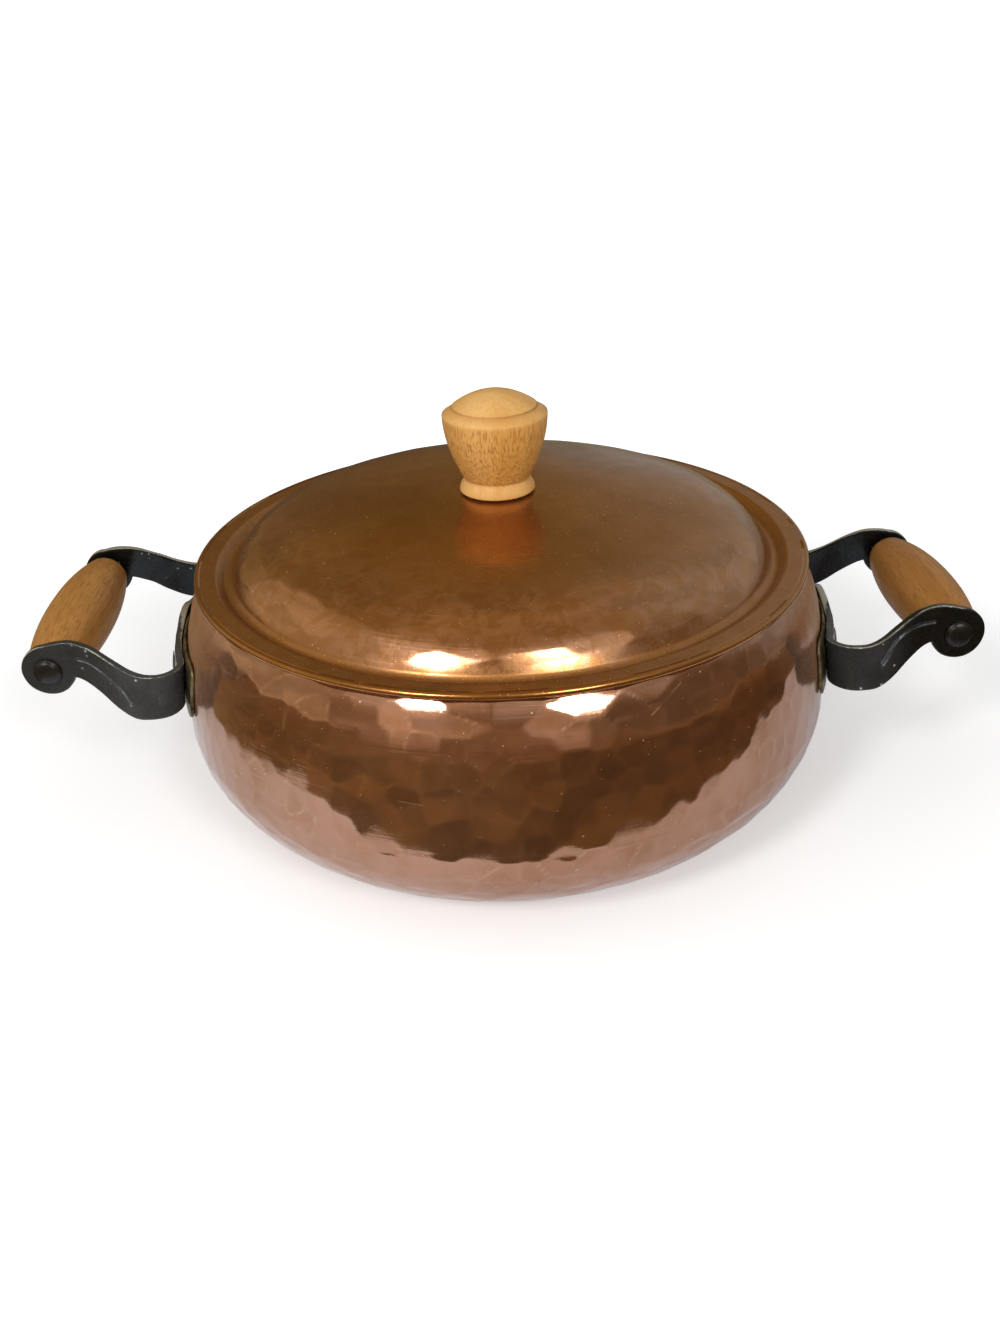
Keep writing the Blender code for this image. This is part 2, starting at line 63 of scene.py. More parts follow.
# Clearance that touching pieces keep, how close points are welded, the least length that a
# vector is divided by, and the points that a softened corner spans
GAP = 0.0003
WELD = 0.0000002
TINY = 1e-12
CORNER = 13


class Grain(Enum):
    """Which way a turned piece's wood grain runs, as scales along X, Y and Z."""

    UPRIGHT = (1.0, 1.0, 0.10)
    LENGTHWISE = (1.0, 0.07, 1.0)


class Streaks(Enum):
    """Which way fine streaks run: level round a wall, or round the axis of a flat sheet."""

    LEVEL = "level"
    ROUND = "round"


class Hand(Enum):
    """The two handles, with the turn about Z that faces each one outward."""

    LEFT = math.pi
    RIGHT = 0.0


# Numbers, lines and grids


def mix(start: Array | float, end: Array | float, share: Array | float) -> Array:
    """Value at a share of the way from start to end."""
    return start + (end - start) * share


def ease(share: Array | float) -> Array:
    """Cosine ease from 0 to 1, flat at both ends and held outside them."""
    return 0.5 - 0.5 * np.cos(np.pi * np.clip(share, 0.0, 1.0))


def bell(offset: Array, width: Array | float) -> Array:
    """Bell curve: e to the power of minus the squared share that the offset is of the width."""
    return np.exp(-((offset / width) ** 2))


def pair(first: Array, second: Array) -> Array:
    """Put two coordinates side by side, as the columns of a line."""
    return np.stack((first, second), axis=-1)


def arc_length(line: Array) -> Array:
    """Length along a polyline up to each of its points."""
    steps = np.linalg.norm(np.diff(line, axis=0), axis=1)
    return np.concatenate(([0.0], np.cumsum(steps)))


def resample(line: Array, count: int) -> tuple[Array, Array]:
    """Place points at even steps along a polyline.

    Args:
        line: Points of the polyline, one row each.
        count: Number of points wanted.

    Returns:
        The points, and the length along the line up to each.
    """
    length = arc_length(line)
    wanted = np.linspace(0.0, length[-1], count)
    columns = [np.interp(wanted, length, line[:, axis]) for axis in range(line.shape[1])]
    return np.stack(columns, axis=1), wanted


def soften(line: Array, width: int) -> Array:
    """Round a dense polyline's corners with a moving average, its two ends held.

    Args:
        line: Points of the polyline, one row each.
        width: Number of points that the average spans.

    Returns:
        As many points as before.
    """
    half = width // 2
    padded = np.concatenate(
        (2.0 * line[:1] - line[half:0:-1], line, 2.0 * line[-1:] - line[-2 : -half - 2 : -1])
    )
    kernel = np.hanning(width + 2)[1:-1]
    kernel /= kernel.sum()
    columns = [np.convolve(padded[:, axis], kernel, "valid") for axis in range(line.shape[1])]
    return np.stack(columns, axis=1)[: len(line)]


def side_normals(line: Array) -> Array:
    """Work out the unit normals to the right of a 2D line: its direction, a right angle on.

    Args:
        line: Points of the line, one row each.

    Returns:
        One normal for each point.
    """
    along = np.gradient(line, axis=0)
    normals = pair(along[:, 1], -along[:, 0])
    return normals / np.maximum(np.linalg.norm(normals, axis=1, keepdims=True), TINY)


def raised(line: Array, normals: Array, heights: Array) -> Array:
    """Copy a line for every column, each point moved along its normal by its height."""
    return line[:, None, :] + normals[:, None, :] * heights[..., None]


def repeated(line: Array, columns: int) -> Array:
    """Copy a line of (radius, height) points for every column."""
    return np.repeat(line[:, None, :], columns, axis=1)


def spun(line: Array, angles: Array) -> Array:
    """Turn (radius, height) points about Z: x and y are the radius by the angle's cosine and sine.

    Args:
        line: One outline for all the columns, or one for each column.
        angles: Angle of each column.

    Returns:
        Grid of points, rows by columns by 3.
    """
    if line.ndim == 2:
        line = line[:, None, :]
    radius = line[..., 0]
    height = line[..., 1] + 0.0 * angles
    return np.stack((radius * np.cos(angles), radius * np.sin(angles), height), axis=-1)


def turn_angles(count: int) -> Array:
    """Even angles round a full turn, as one row."""
    return np.linspace(0.0, 2.0 * np.pi, count, endpoint=False)[None, :]


def placed(points: Array, place: Matrix) -> Array:
    """Turn and move points to a place in the world."""
    matrix = np.array(place)
    return points @ matrix[:3, :3].T + matrix[:3, 3]


def grid_faces(rows: int, columns: int, wrap_rows: bool, wrap_columns: bool) -> Array:
    """List the quads of a grid of points that is numbered row by row.

    Args:
        rows: Number of rows.
        columns: Number of columns.
        wrap_rows: Whether the last row joins the first.
        wrap_columns: Whether the last column joins the first.

    Returns:
        The four point numbers of each quad.
    """
    row = np.arange(rows if wrap_rows else rows - 1)
    column = np.arange(columns if wrap_columns else columns - 1)
    row, column = np.meshgrid(row, column, indexing="ij")
    next_row = (row + 1) % rows
    next_column = (column + 1) % columns
    corners = (
        row * columns + column,
        row * columns + next_column,
        next_row * columns + next_column,
        next_row * columns + column,
    )
    return np.stack(corners, axis=-1).reshape(-1, 4)


def signed_volume(points: Array, faces: Array) -> float:
    """Volume inside closed quads, negative where they face inward."""
    a, b, c, d = (points[faces[:, corner]] for corner in range(4))
    return float(np.sum(np.cross(a, b) * c) + np.sum(np.cross(a, c) * d)) / 6.0


def add_object(name: str, data: bpy.types.ID) -> bpy.types.Object:
    """Put an object into the scene, at the origin.

    Args:
        name: The object's name.
        data: Its mesh, light or camera.

    Returns:
        The new object.
    """
    thing = bpy.data.objects.new(name, data)
    bpy.context.scene.collection.objects.link(thing)
    return thing


def grid_piece(
    name: str,
    points: Array,
    wrap_rows: bool,
    wrap_columns: bool,
    marks: Marks | None = None,
) -> bpy.types.Object:
    """Make a closed piece from a grid of points, facing outward and with its poles welded.

    Args:
        name: The piece's name.
        points: Grid of points, rows by columns by 3.
        wrap_rows: Whether the last row joins the first.
        wrap_columns: Whether the last column joins the first.
        marks: Values for each point, by attribute name, for the material to read.

    Returns:
        The new object, at the origin, with smooth faces.
    """
    rows, columns = points.shape[:2]
    faces = grid_faces(rows, columns, wrap_rows, wrap_columns)
    flat = points.reshape(-1, 3)
    if signed_volume(flat, faces) < 0.0:
        faces = faces[:, ::-1]
    mesh = bpy.data.meshes.new(name)
    mesh.from_pydata(flat, [], faces)
    for mark, values in (marks or {}).items():
        attribute = mesh.attributes.new(mark, "FLOAT", "POINT")
        spread = np.broadcast_to(values, (rows, columns)).astype(np.float32).ravel()
        attribute.data.foreach_set("value", spread)
    shape = bmesh.new()
    shape.from_mesh(mesh)
    bmesh.ops.remove_doubles(shape, verts=shape.verts, dist=WELD)
    bmesh.ops.dissolve_degenerate(shape, edges=shape.edges, dist=WELD)
    shape.to_mesh(mesh)
    shape.free()
    mesh.shade_smooth()
    return add_object(name, mesh)


def turned_piece(
    name: str,
    line: Array,
    columns: int,
    ring: bool,
    place: Matrix,
    marks: Marks | None = None,
) -> bpy.types.Object:
    """Turn a (radius, height) line about Z and put it in its place.

    Args:
        name: The piece's name.
        line: The outline. Unless it is a ring, its ends lie on the axis.
        columns: Number of points round the turn.
        ring: Whether the outline closes on itself.
        place: The piece's place in the world.
        marks: Values for each outline point, by attribute name.

    Returns:
        The new piece.
    """
    points = placed(spun(line, turn_angles(columns)), place)
    spread = {mark: np.asarray(values)[:, None] for mark, values in (marks or {}).items()}
    return grid_piece(name, points, ring, True, spread)


def finish_piece(
    piece: bpy.types.Object, finish: Finish, body: str, slot: str, *nodes: str
) -> None:
    """Give a piece its finish and its body, and hide the nodes that it stands for.

    Args:
        piece: The piece.
        finish: What it is made of, by its looks.
        body: The body that it rides on.
        slot: Not used.
        nodes: The nodes that it replaces.
    """
    piece.data.materials.append(finish.material())
    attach(piece, body)
    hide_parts(*nodes)
    LOG.info("%s: %d faces, rides on %s", piece.name, len(piece.data.polygons), body)


@dataclass(frozen=True)
class Hammering:
    """Facets that rows of hammer blows leave round a turned shell.

    Each blow flattens the shell towards the plane that touches it there, so the surface is the
    lowest of the nearby blows' planes, and two planes meet in a ridge.
    """

    spacing: float
    jitter: float
    flatness: float
    tilt: float
    depth: float
    ridge: float
    seed: int
    bend_limits: tuple[float, float] = (2.0, 30.0)
    hoop_limits: tuple[float, float] = (1.5, 12.0)
    bend_window: int = 15
    ridge_cut: float = 0.35

    def relief(self, line: Array, angles: Array) -> tuple[Array, Array]:
        """Work out how far the blows press the shell in.

        Against the round shell, a blow's plane stands off by half the curvature times the squared
        distance along each of the two directions, plus its tilt, less its depth. The height is the
        least of these over the nearby blows, less its mean round the shell.

        Args:
            line: The shell's (radius, height) points at even steps.
            angles: The angles of the grid's columns, as one row.

        Returns:
            The height of each point about its mean, and how near it lies to a ridge, 0 to 1.
        """
        rng = np.random.default_rng(self.seed)
        arc = arc_length(line)
        normals = side_normals(line)
        heading = np.unwrap(np.arctan2(normals[:, 1], normals[:, 0]))
        bend = soften(np.abs(np.gradient(heading, arc))[:, None], self.bend_window)
        bend = np.clip(bend, *self.bend_limits)
        hoop = np.abs(normals[:, 0]) / np.maximum(line[:, 0], self.spacing)
        hoop = np.clip(hoop, *self.hoop_limits)[:, None]

        bands = int(arc[-1] / self.spacing) + 3
        band_arc = (np.arange(bands) + 0.5) * self.spacing
        band_radius = np.interp(band_arc, arc, line[:, 0])
        counts = np.maximum(np.round(2.0 * np.pi * band_radius / self.spacing).astype(int), 5)
        shape = (bands, int(counts.max()))
        wander = rng.uniform(-self.jitter, self.jitter, (2, *shape)) * self.spacing
        start = rng.uniform(0.0, 1.0, bands)
        tilts = rng.normal(0.0, self.tilt, (2, *shape))
        depths = rng.uniform(0.0, self.depth, shape)

        own_band = np.floor(arc / self.spacing).astype(int)
        lowest = np.full((len(line), angles.shape[1]), 1.0)
        second = lowest.copy()
        for band_step in (-2, -1, 0, 1, 2):
            band = np.clip(own_band + band_step, 0, bands - 1)[:, None]
            count = counts[band]
            share = angles / (2.0 * np.pi) * count - start[band]
            for around_step in (-1, 0, 1):
                index = np.round(share).astype(int) + around_step
                blow = index % count
                away = (share - index) * (2.0 * np.pi / count) * line[:, 0, None]
                across = away - wander[0][band, blow]
                along = arc[:, None] - band_arc[band] - wander[1][band, blow]
                plane = 0.5 * self.flatness * (hoop * across**2 + bend * along**2)
                plane += tilts[0][band, blow] * across + tilts[1][band, blow] * along
                plane -= depths[band, blow]
                second = np.minimum(second, np.maximum(plane, lowest))
                lowest = np.minimum(lowest, plane)
        edge = np.exp(-np.maximum(second - lowest, 0.0) / self.ridge)
        height = lowest - self.ridge_cut * self.ridge * edge
        return height - height.mean(axis=1, keepdims=True), edge


# Materials


class Graph:
    """Adds nodes to one node tree and links them up."""

    def __init__(self, tree: bpy.types.NodeTree, coordinates: str) -> None:
        """Start on a tree, with the kind of coordinates that its textures read."""
        self.tree = tree
        self.coordinates = self.add("ShaderNodeTexCoord").outputs[coordinates]

    def add(self, kind: str, **settings: object) -> bpy.types.Node:
        """Add a node.

        Args:
            kind: The node's type.
            settings: Its settings, by name.

        Returns:
            The new node.
        """
        node = self.tree.nodes.new(kind)
        for name, value in settings.items():
            setattr(node, name, value)
        return node

    def put(self, socket: Socket, value: object) -> None:
        """Link a socket to another socket, or set its own value.

        Args:
            socket: The socket to fill.
            value: Another socket, a number, a vector or a colour.
        """
        if isinstance(value, Socket):
            self.tree.links.new(value, socket)
        elif isinstance(value, tuple) and socket.type == "RGBA":
            socket.default_value = (*value, 1.0)
        else:
            socket.default_value = value

    def fill(self, node: bpy.types.Node, *values: object, **named: object) -> bpy.types.Node:
        """Fill a node's sockets.

        Args:
            node: The node.
            values: Values for its first sockets, in order.
            named: Values for other sockets by name, an underscore standing for a space.

        Returns:
            The same node.
        """
        for socket, value in zip(node.inputs, values):
            self.put(socket, value)
        for name, value in named.items():
            self.put(node.inputs[name.replace("_", " ")], value)
        return node

    def math(self, operation: str, *values: object) -> Socket:
        """One sum of two or three values, held between 0 and 1."""
        node = self.add("ShaderNodeMath", operation=operation, use_clamp=True)
        return self.fill(node, *values).outputs[0]

    def times(self, first: object, second: object) -> Socket:
        """Product of two values, held between 0 and 1."""
        return self.math("MULTIPLY", first, second)

    def vector(self, operation: str, *values: object, **named: object) -> Socket:
        """Work out one sum of vectors.

        Args:
            operation: The sum.
            values: The vectors, in order.
            named: The number that a vector is scaled by, named Scale.

        Returns:
            A number for a length, a distance or a dot product, otherwise a vector.
        """
        node = self.add("ShaderNodeVectorMath", operation=operation)
        is_number = operation in ("LENGTH", "DISTANCE", "DOT_PRODUCT")
        return self.fill(node, *values, **named).outputs["Value" if is_number else "Vector"]

    def axis(self, name: str) -> Socket:
        """The coordinates' distance along the axis of that name."""
        return self.fill(self.add("ShaderNodeSeparateXYZ"), self.coordinates).outputs[name]

    def scaled(self, scale: Triple) -> Socket:
        """The coordinates, stretched by a scale along each axis."""
        node = self.add("ShaderNodeMapping")
        return self.fill(node, Vector=self.coordinates, Scale=scale).outputs["Vector"]

    def ringed(self, around: float, outward: float) -> Socket:
        """Coordinates for marks that run round Z.

        Their X and Y are the unit direction from the axis times around, and their Z is the
        distance from the axis times outward.

        Args:
            around: Factor of the direction.
            outward: Factor of the distance.

        Returns:
            The coordinates.
        """
        flat = self.vector("MULTIPLY", self.coordinates, (1.0, 1.0, 0.0))
        upward = self.fill(self.add("ShaderNodeCombineXYZ"), Z=self.vector("LENGTH", flat))
        wide = self.vector("SCALE", upward.outputs["Vector"], Scale=outward)
        level = self.vector("NORMALIZE", flat)
        return self.vector("MULTIPLY_ADD", level, (around, around, 0.0), wide)

    def noise(
        self,
        scale: float,
        detail: float = 3.0,
        roughness: float = 0.5,
        vector: Socket | None = None,
        distortion: float = 0.0,
    ) -> Socket:
        """Add soft random noise.

        Args:
            scale: Repeats a metre.
            detail: Number of finer layers.
            roughness: Share that each finer layer adds.
            vector: Coordinates, if they aren't the graph's own.
            distortion: How far the pattern is warped.

        Returns:
            The noise, around 0.5.
        """
        node = self.add("ShaderNodeTexNoise")
        self.fill(node, Vector=vector or self.coordinates, Scale=scale, Detail=detail)
        return self.fill(node, Roughness=roughness, Distortion=distortion).outputs["Fac"]

    def specks(self, scale: float, radius: float, share: float) -> Socket:
        """Scatter dots: the middles of a share of random cells.

        Args:
            scale: Cells a metre.
            radius: The dots' radius, in cells.
            share: Share of the cells that have a dot.

        Returns:
            1 inside the dots.
        """
        cells = self.fill(self.add("ShaderNodeTexVoronoi"), Vector=self.coordinates, Scale=scale)
        near = self.band(cells.outputs["Distance"], radius, 0.5 * radius)
        pick = self.fill(self.add("ShaderNodeSeparateColor"), cells.outputs["Color"])
        return self.times(near, self.math("LESS_THAN", pick.outputs["Red"], share))

    def nick(self, start: Triple, end: Triple, width: float) -> Socket:
        """Scratch a straight line between two points of the surface.

        The nearest point of the line lies at the share of it that the offset from its start,
        multiplied by its direction and divided by its squared length, comes to.

        Args:
            start: Where the scratch starts.
            end: Where it ends.
            width: Half its width, with its soft edge.

        Returns:
            1 along the scratch's middle.
        """
        along = Vector(end) - Vector(start)
        offset = self.vector("SUBTRACT", self.coordinates, start)
        share = self.vector("DOT_PRODUCT", offset, tuple(along / along.length_squared))
        held = self.math("MAXIMUM", share, 0.0)
        nearest = self.vector("SCALE", tuple(along), Scale=held)
        return self.band(self.vector("DISTANCE", offset, nearest), width, 0.35 * width)

    def mark(self, name: str) -> Socket:
        """A value that the mesh carries at its points."""
        return self.add("ShaderNodeAttribute", attribute_name=name).outputs["Fac"]

    def band(self, value: Socket, low: float, high: float, out: tuple = (0.0, 1.0)) -> Socket:
        """Read a value that runs from low to high as one that runs over another range.

        Args:
            value: The value.
            low: Where the first end of the range is reached.
            high: Where the second end is reached. It may lie below low.
            out: The two ends of the range.

        Returns:
            The new value, eased and held between the two ends.
        """
        ends = sorted(((low, out[0]), (high, out[1])), key=lambda end: end[0])
        node = self.add("ShaderNodeMapRange", interpolation_type="SMOOTHSTEP")
        self.fill(node, value, ends[0][0], ends[1][0], ends[0][1], ends[1][1])
        return node.outputs["Result"]

    def blend(self, share: object, first: object, second: object) -> Socket:
        """Mix two colours by a share.

        Args:
            share: 0 for the first colour, 1 for the second.
            first: The first colour.
            second: The second colour.

        Returns:
            The mixed colour.
        """
        node = self.add("ShaderNodeMix", data_type="RGBA")
        for socket, value in zip((0, 6, 7), (share, first, second)):
            self.put(node.inputs[socket], value)
        return node.outputs[2]

    def glow(self, colour: object, strength: object) -> Socket:
        """Light of a colour and strength, as a shader."""
        node = self.add("ShaderNodeEmission")
        return self.fill(node, Color=colour, Strength=strength).outputs[0]

    def ray(self, kind: str) -> Socket:
        """1 for rays of a kind, 0 for all others."""
        return self.add("ShaderNodeLightPath").outputs[f"Is {kind} Ray"]

    def mirrored(self) -> Socket:
        """1 for rays that gloss or glass sends on, 0 for all others."""
        return self.math("MAXIMUM", self.ray("Glossy"), self.ray("Transmission"))


class Surface(Graph):
    """The nodes of one material, whose shader is a Principled BSDF."""

    def __init__(self, name: str) -> None:
        """Start a material.

        Args:
            name: The material's name.
        """
        self.material = bpy.data.materials.new(name)
        self.material.use_nodes = True
        super().__init__(self.material.node_tree, "Object")
        self.shader = self.tree.nodes["Principled BSDF"]

    def shade(self, **values: object) -> None:
        """Set or link the shader's sockets, an underscore standing for a space."""
        self.fill(self.shader, **values)

    def bump(self, height: object, distance: float) -> None:
        """Give the shader a fine relief of a depth."""
        node = self.fill(self.add("ShaderNodeBump"), Height=height, Distance=distance, Strength=1.0)
        self.shade(Normal=node.outputs["Normal"])

    def end(self, shader: Socket) -> None:
        """Make another shader the one that the surface shows."""
        self.fill(self.tree.nodes["Material Output"], Surface=shader)


@dataclass(frozen=True)
class CopperFinish:
    """Aged copper, with brown tarnish, brighter ridges, pale specks and fine scratches.

    The mark "tinned" turns it to the dull tin that lines a cooking pot, the mark "dull" roughens
    it and lets grime and dust settle on it, the mark "clean" shows patches of the pinker bare
    metal, which also tint the highlights there as painted highlight, and the mark "sunk" darkens
    it as painted shade.
    """

    name: str
    bright: Colour
    tarnish: Colour
    clean: Colour
    ridge_colour: Colour
    speck_colour: Colour
    tin: Colour
    tin_stain: Colour
    roughness: tuple[float, float]
    metallic: float
    speck_share: float
    grime: Colour
    line_relief: float
    dull_roughness: float
    dull_metal: float
    streaks: Streaks
    nicks: tuple[tuple[Triple, Triple], ...] = ()
    nick_width: float = 0.00042
    # Painted shade: the colour that the lid's groove is darkened towards.
    sunk: Colour = (0.085, 0.032, 0.010)
    relief: float = 0.00006

    def material(self) -> bpy.types.Material:
        """Build the copper's nodes.

        Returns:
            The new material.
        """
        graph = Surface(self.name)
        cloud = graph.noise(16.0, 4.0, 0.55, distortion=0.6)
        mottle = graph.noise(100.0, 5.0, 0.6)
        fine = graph.noise(900.0, 3.0, 0.6)
        small = graph.band(mottle, 0.40, 0.64, (0.0, 0.45))
        patches = graph.math("MULTIPLY_ADD", graph.band(cloud, 0.38, 0.66), 0.62, small)
        colour = graph.blend(patches, self.bright, self.tarnish)
        # Pinker bare copper on the lid's shoulder, which also tints the highlights there as painted
        # highlight.
        worms = graph.band(graph.noise(150.0, 3.0, 0.55, distortion=1.0), 0.42, 0.60, (0.42, 1.0))
        worn_and_sheen = graph.times(graph.mark("clean"), worms)
        colour = graph.blend(worn_and_sheen, colour, self.clean)
        # Painted shade: the groove's outer wall is darkened here.
        sunk = graph.times(graph.mark("sunk"), graph.band(cloud, 0.3, 0.7, (0.9, 0.6)))
        colour = graph.blend(sunk, colour, self.sunk)

        # Ridges are painted paler as wear. Where their mark is raised, high on the pot's front and
        # on the lid's left, the paler colour is painted highlight.
        ridge = graph.mark("ridge")
        worn = graph.times(ridge, graph.band(mottle, 0.40, 0.62, (0.06, 0.55)))
        colour = graph.blend(worn, colour, self.ridge_colour)

        if self.streaks is Streaks.ROUND:
            streaked = graph.ringed(5.0, 1400.0)
        else:
            streaked = graph.scaled((40.0, 40.0, 1400.0))
        lines = graph.noise(1.0, 2.0, 0.5, streaked)
        patchy = graph.band(graph.noise(38.0, 2.0), 0.42, 0.62)
        scratches = graph.times(graph.band(lines, 0.68, 0.74), patchy)
        for start, end in self.nicks:
            nick = graph.nick(start, end, self.nick_width)
            colour = graph.blend(nick, colour, self.speck_colour)
        colour = graph.blend(graph.times(scratches, 0.25), colour, self.speck_colour)

        clustered = graph.band(graph.noise(24.0, 2.0), 0.40, 0.60, (0.25, 1.0))
        dots = graph.times(graph.specks(480.0, 0.18, self.speck_share), clustered)
        dust = graph.specks(900.0, 0.25, 0.6 * self.speck_share)
        dots = graph.math("MAXIMUM", dots, graph.times(dust, 0.6))
        colour = graph.blend(graph.times(dots, 0.85), colour, self.speck_colour)

        dull = graph.mark("dull")
        grimy = graph.times(dull, graph.band(mottle, 0.35, 0.65, (0.55, 0.95)))
        colour = graph.blend(grimy, colour, self.grime)
        crumbs = graph.noise(2200.0, 2.0, 0.5)
        settled = graph.band(crumbs, 0.62, 0.68, (0.0, 0.6))
        settled = graph.times(settled, graph.band(mottle, 0.42, 0.6))
        colour = graph.blend(graph.times(dull, settled), colour, self.speck_colour)

        stain = graph.band(graph.noise(30.0, 5.0, 0.6, distortion=1.0), 0.4, 0.68)
        tin = graph.blend(stain, self.tin, self.tin_stain)
        tinned = graph.mark("tinned")
        colour = graph.blend(tinned, colour, tin)

        uneven = graph.math("MULTIPLY_ADD", mottle, 0.6, graph.band(fine, 0.0, 1.0, (0.0, 0.4)))
        rough = graph.band(uneven, 0.35, 0.75, self.roughness)
        rough = graph.math("MAXIMUM", rough, graph.times(dots, 0.55))
        rough = graph.math("MULTIPLY_ADD", tinned, 0.10, rough)
        rough = graph.math("MULTIPLY_ADD", dull, self.dull_roughness, rough)
        metal = graph.math("MULTIPLY_ADD", dull, -self.dull_metal, self.metallic)
        graph.shade(Base_Color=colour, Metallic=metal, Roughness=rough)
        lined = graph.times(lines, self.line_relief)
        graph.bump(graph.math("MULTIPLY_ADD", fine, 0.20, lined), self.relief)
        return graph.material


@dataclass(frozen=True)
class WoodFinish:
    """Oiled wood with soft bands, fibres along the grain, and short dark pores."""

    name: str
    pale: Colour
    deep: Colour
    pore: Colour
    grain: Grain
    band_scale: float
    pore_scale: float
    pore_limit: float
    pore_strength: float
    roughness: float
    pore_edge: float = 0.08
    gloss: float = 0.28
    relief: float = 0.00006

    def material(self) -> bpy.types.Material:
        """Build the wood's nodes.

        Returns:
            The new material.
        """
        graph = Surface(self.name)
        along = graph.scaled(self.grain.value)
        bands = graph.noise(self.band_scale, 3.0, 0.5, along, 0.4)
        fibres = graph.noise(900.0, 4.0, 0.65, along)
        pores = graph.noise(self.pore_scale, 1.0, 0.4, along)
        streaks = graph.band(fibres, 0.3, 0.7, (0.0, 0.35))
        tone = graph.math("MULTIPLY_ADD", graph.band(bands, 0.32, 0.68), 0.45, streaks)
        tone = graph.math("MULTIPLY_ADD", graph.mark("pores"), 0.35, tone)
        colour = graph.blend(tone, self.pale, self.deep)
        dark = graph.band(pores, self.pore_limit, self.pore_limit + self.pore_edge)
        dark = graph.times(dark, graph.mark("pores"))
        colour = graph.blend(graph.times(dark, self.pore_strength), colour, self.pore)
        handled = graph.noise(45.0, 3.0, 0.5)
        colour = graph.blend(graph.band(handled, 0.5, 0.75, (0.0, 0.28)), colour, self.deep)
        soiled = graph.times(graph.mark("soiled"), 0.75)
        colour = graph.blend(soiled, colour, self.pore)
        rough = graph.band(fibres, 0.3, 0.7, (self.roughness - 0.07, self.roughness + 0.08))
        graph.shade(Base_Color=colour, Roughness=rough, Specular_IOR_Level=self.gloss)
        graph.bump(graph.math("SUBTRACT", graph.times(fibres, 0.5), dark), self.relief)
        return graph.material


@dataclass(frozen=True)
class IronFinish:
    """Satin black iron with small chips, paler where worn and, on a strap's top edges, with painted
    highlight, and near black where painted shade is laid.
    """

    name: str
    black: Colour
    grey: Colour
    worn_and_sheen: Colour
    chip: Colour
    sheen: Colour
    painted_shade_colour: Colour
    roughness: tuple[float, float]
    gloss: float = 0.40
    relief: float = 0.000015

    def material(self) -> bpy.types.Material:
        """Build the iron's nodes.

        Returns:
            The new material.
        """
        graph = Surface(self.name)
        cloud = graph.noise(60.0, 4.0, 0.6)
        fine = graph.noise(700.0, 4.0, 0.65)
        colour = graph.blend(graph.band(cloud, 0.35, 0.7), self.black, self.grey)
        # Painted shade: the far arm and the eyes are darkened towards near black.
        colour = graph.blend(graph.mark("painted_shade"), colour, self.painted_shade_colour)
        # Pale worn iron, which on a strap's top edges is also painted highlight.
        ragged = graph.math("MULTIPLY_ADD", fine, 0.55, graph.band(cloud, 0.3, 0.7, (0.0, 0.45)))
        wear = graph.math("ADD", graph.mark("worn_and_sheen"), 0.02)
        bare = graph.band(graph.math("SUBTRACT", wear, ragged), 0.0, 0.22)
        colour = graph.blend(bare, colour, self.worn_and_sheen)
        chips = graph.times(graph.specks(420.0, 0.22, 0.15), graph.band(cloud, 0.4, 0.6))
        colour = graph.blend(graph.times(chips, 0.8), colour, self.chip)
        rough = graph.band(fine, 0.3, 0.7, self.roughness)
        graph.shade(Base_Color=colour, Metallic=graph.times(bare, 0.7), Roughness=rough)
        graph.shade(Specular_IOR_Level=self.gloss, Specular_Tint=self.sheen)
        graph.bump(graph.math("MULTIPLY_ADD", fine, 0.4, graph.times(cloud, 0.6)), self.relief)
        return graph.material


@dataclass(frozen=True)
class PlainMetalFinish:
    """A dull sheet or turned metal with stains and fine scratches."""

    name: str
    clean: Colour
    stained: Colour
    roughness: tuple[float, float]
    relief: float = 0.00003

    def material(self) -> bpy.types.Material:
        """Build the metal's nodes.

        Returns:
            The new material.
        """
        graph = Surface(self.name)
        cloud = graph.noise(140.0, 5.0, 0.65, distortion=0.5)
        fine = graph.noise(1500.0, 3.0, 0.6)
        colour = graph.blend(graph.band(cloud, 0.38, 0.66), self.clean, self.stained)
        rough = graph.band(fine, 0.25, 0.75, self.roughness)
        graph.shade(Base_Color=colour, Metallic=1.0, Roughness=rough)
        graph.bump(fine, self.relief)
        return graph.material


Finish = CopperFinish | WoodFinish | IronFinish | PlainMetalFinish

POT_COPPER = CopperFinish(
    name="pot_copper",
    bright=(0.44, 0.245, 0.165),
    tarnish=(0.35, 0.175, 0.098),
    clean=(0.50, 0.29, 0.20),
    ridge_colour=(0.60, 0.37, 0.26),
    speck_colour=(0.72, 0.55, 0.42),
    tin=(0.50, 0.48, 0.45),
    tin_stain=(0.34, 0.31, 0.27),
    roughness=(0.08, 0.155),
    metallic=0.95,
    speck_share=0.05,
    grime=(0.29, 0.135, 0.044),
    line_relief=0.22,
    dull_roughness=0.40,
    dull_metal=0.75,
    streaks=Streaks.LEVEL,
    nicks=(
        ((0.0424, -0.1041, 0.0813), (0.0517, -0.0965, 0.0875)),
        ((-0.0340, -0.1120, 0.0600), (-0.0270, -0.1141, 0.0596)),
    ),
)
LID_COPPER = CopperFinish(
    name="lid_copper",
    bright=(0.43, 0.200, 0.070),
    tarnish=(0.33, 0.142, 0.032),
    clean=(0.475, 0.250, 0.140),
    ridge_colour=(0.54, 0.31, 0.18),
    speck_colour=(0.78, 0.58, 0.36),
    tin=(0.50, 0.48, 0.45),
    tin_stain=(0.34, 0.31, 0.27),
    roughness=(0.17, 0.28),
    metallic=0.95,
    speck_share=0.14,
    grime=(0.33, 0.142, 0.032),
    line_relief=0.80,
    dull_roughness=0.16,
    dull_metal=0.10,
    streaks=Streaks.ROUND,
)
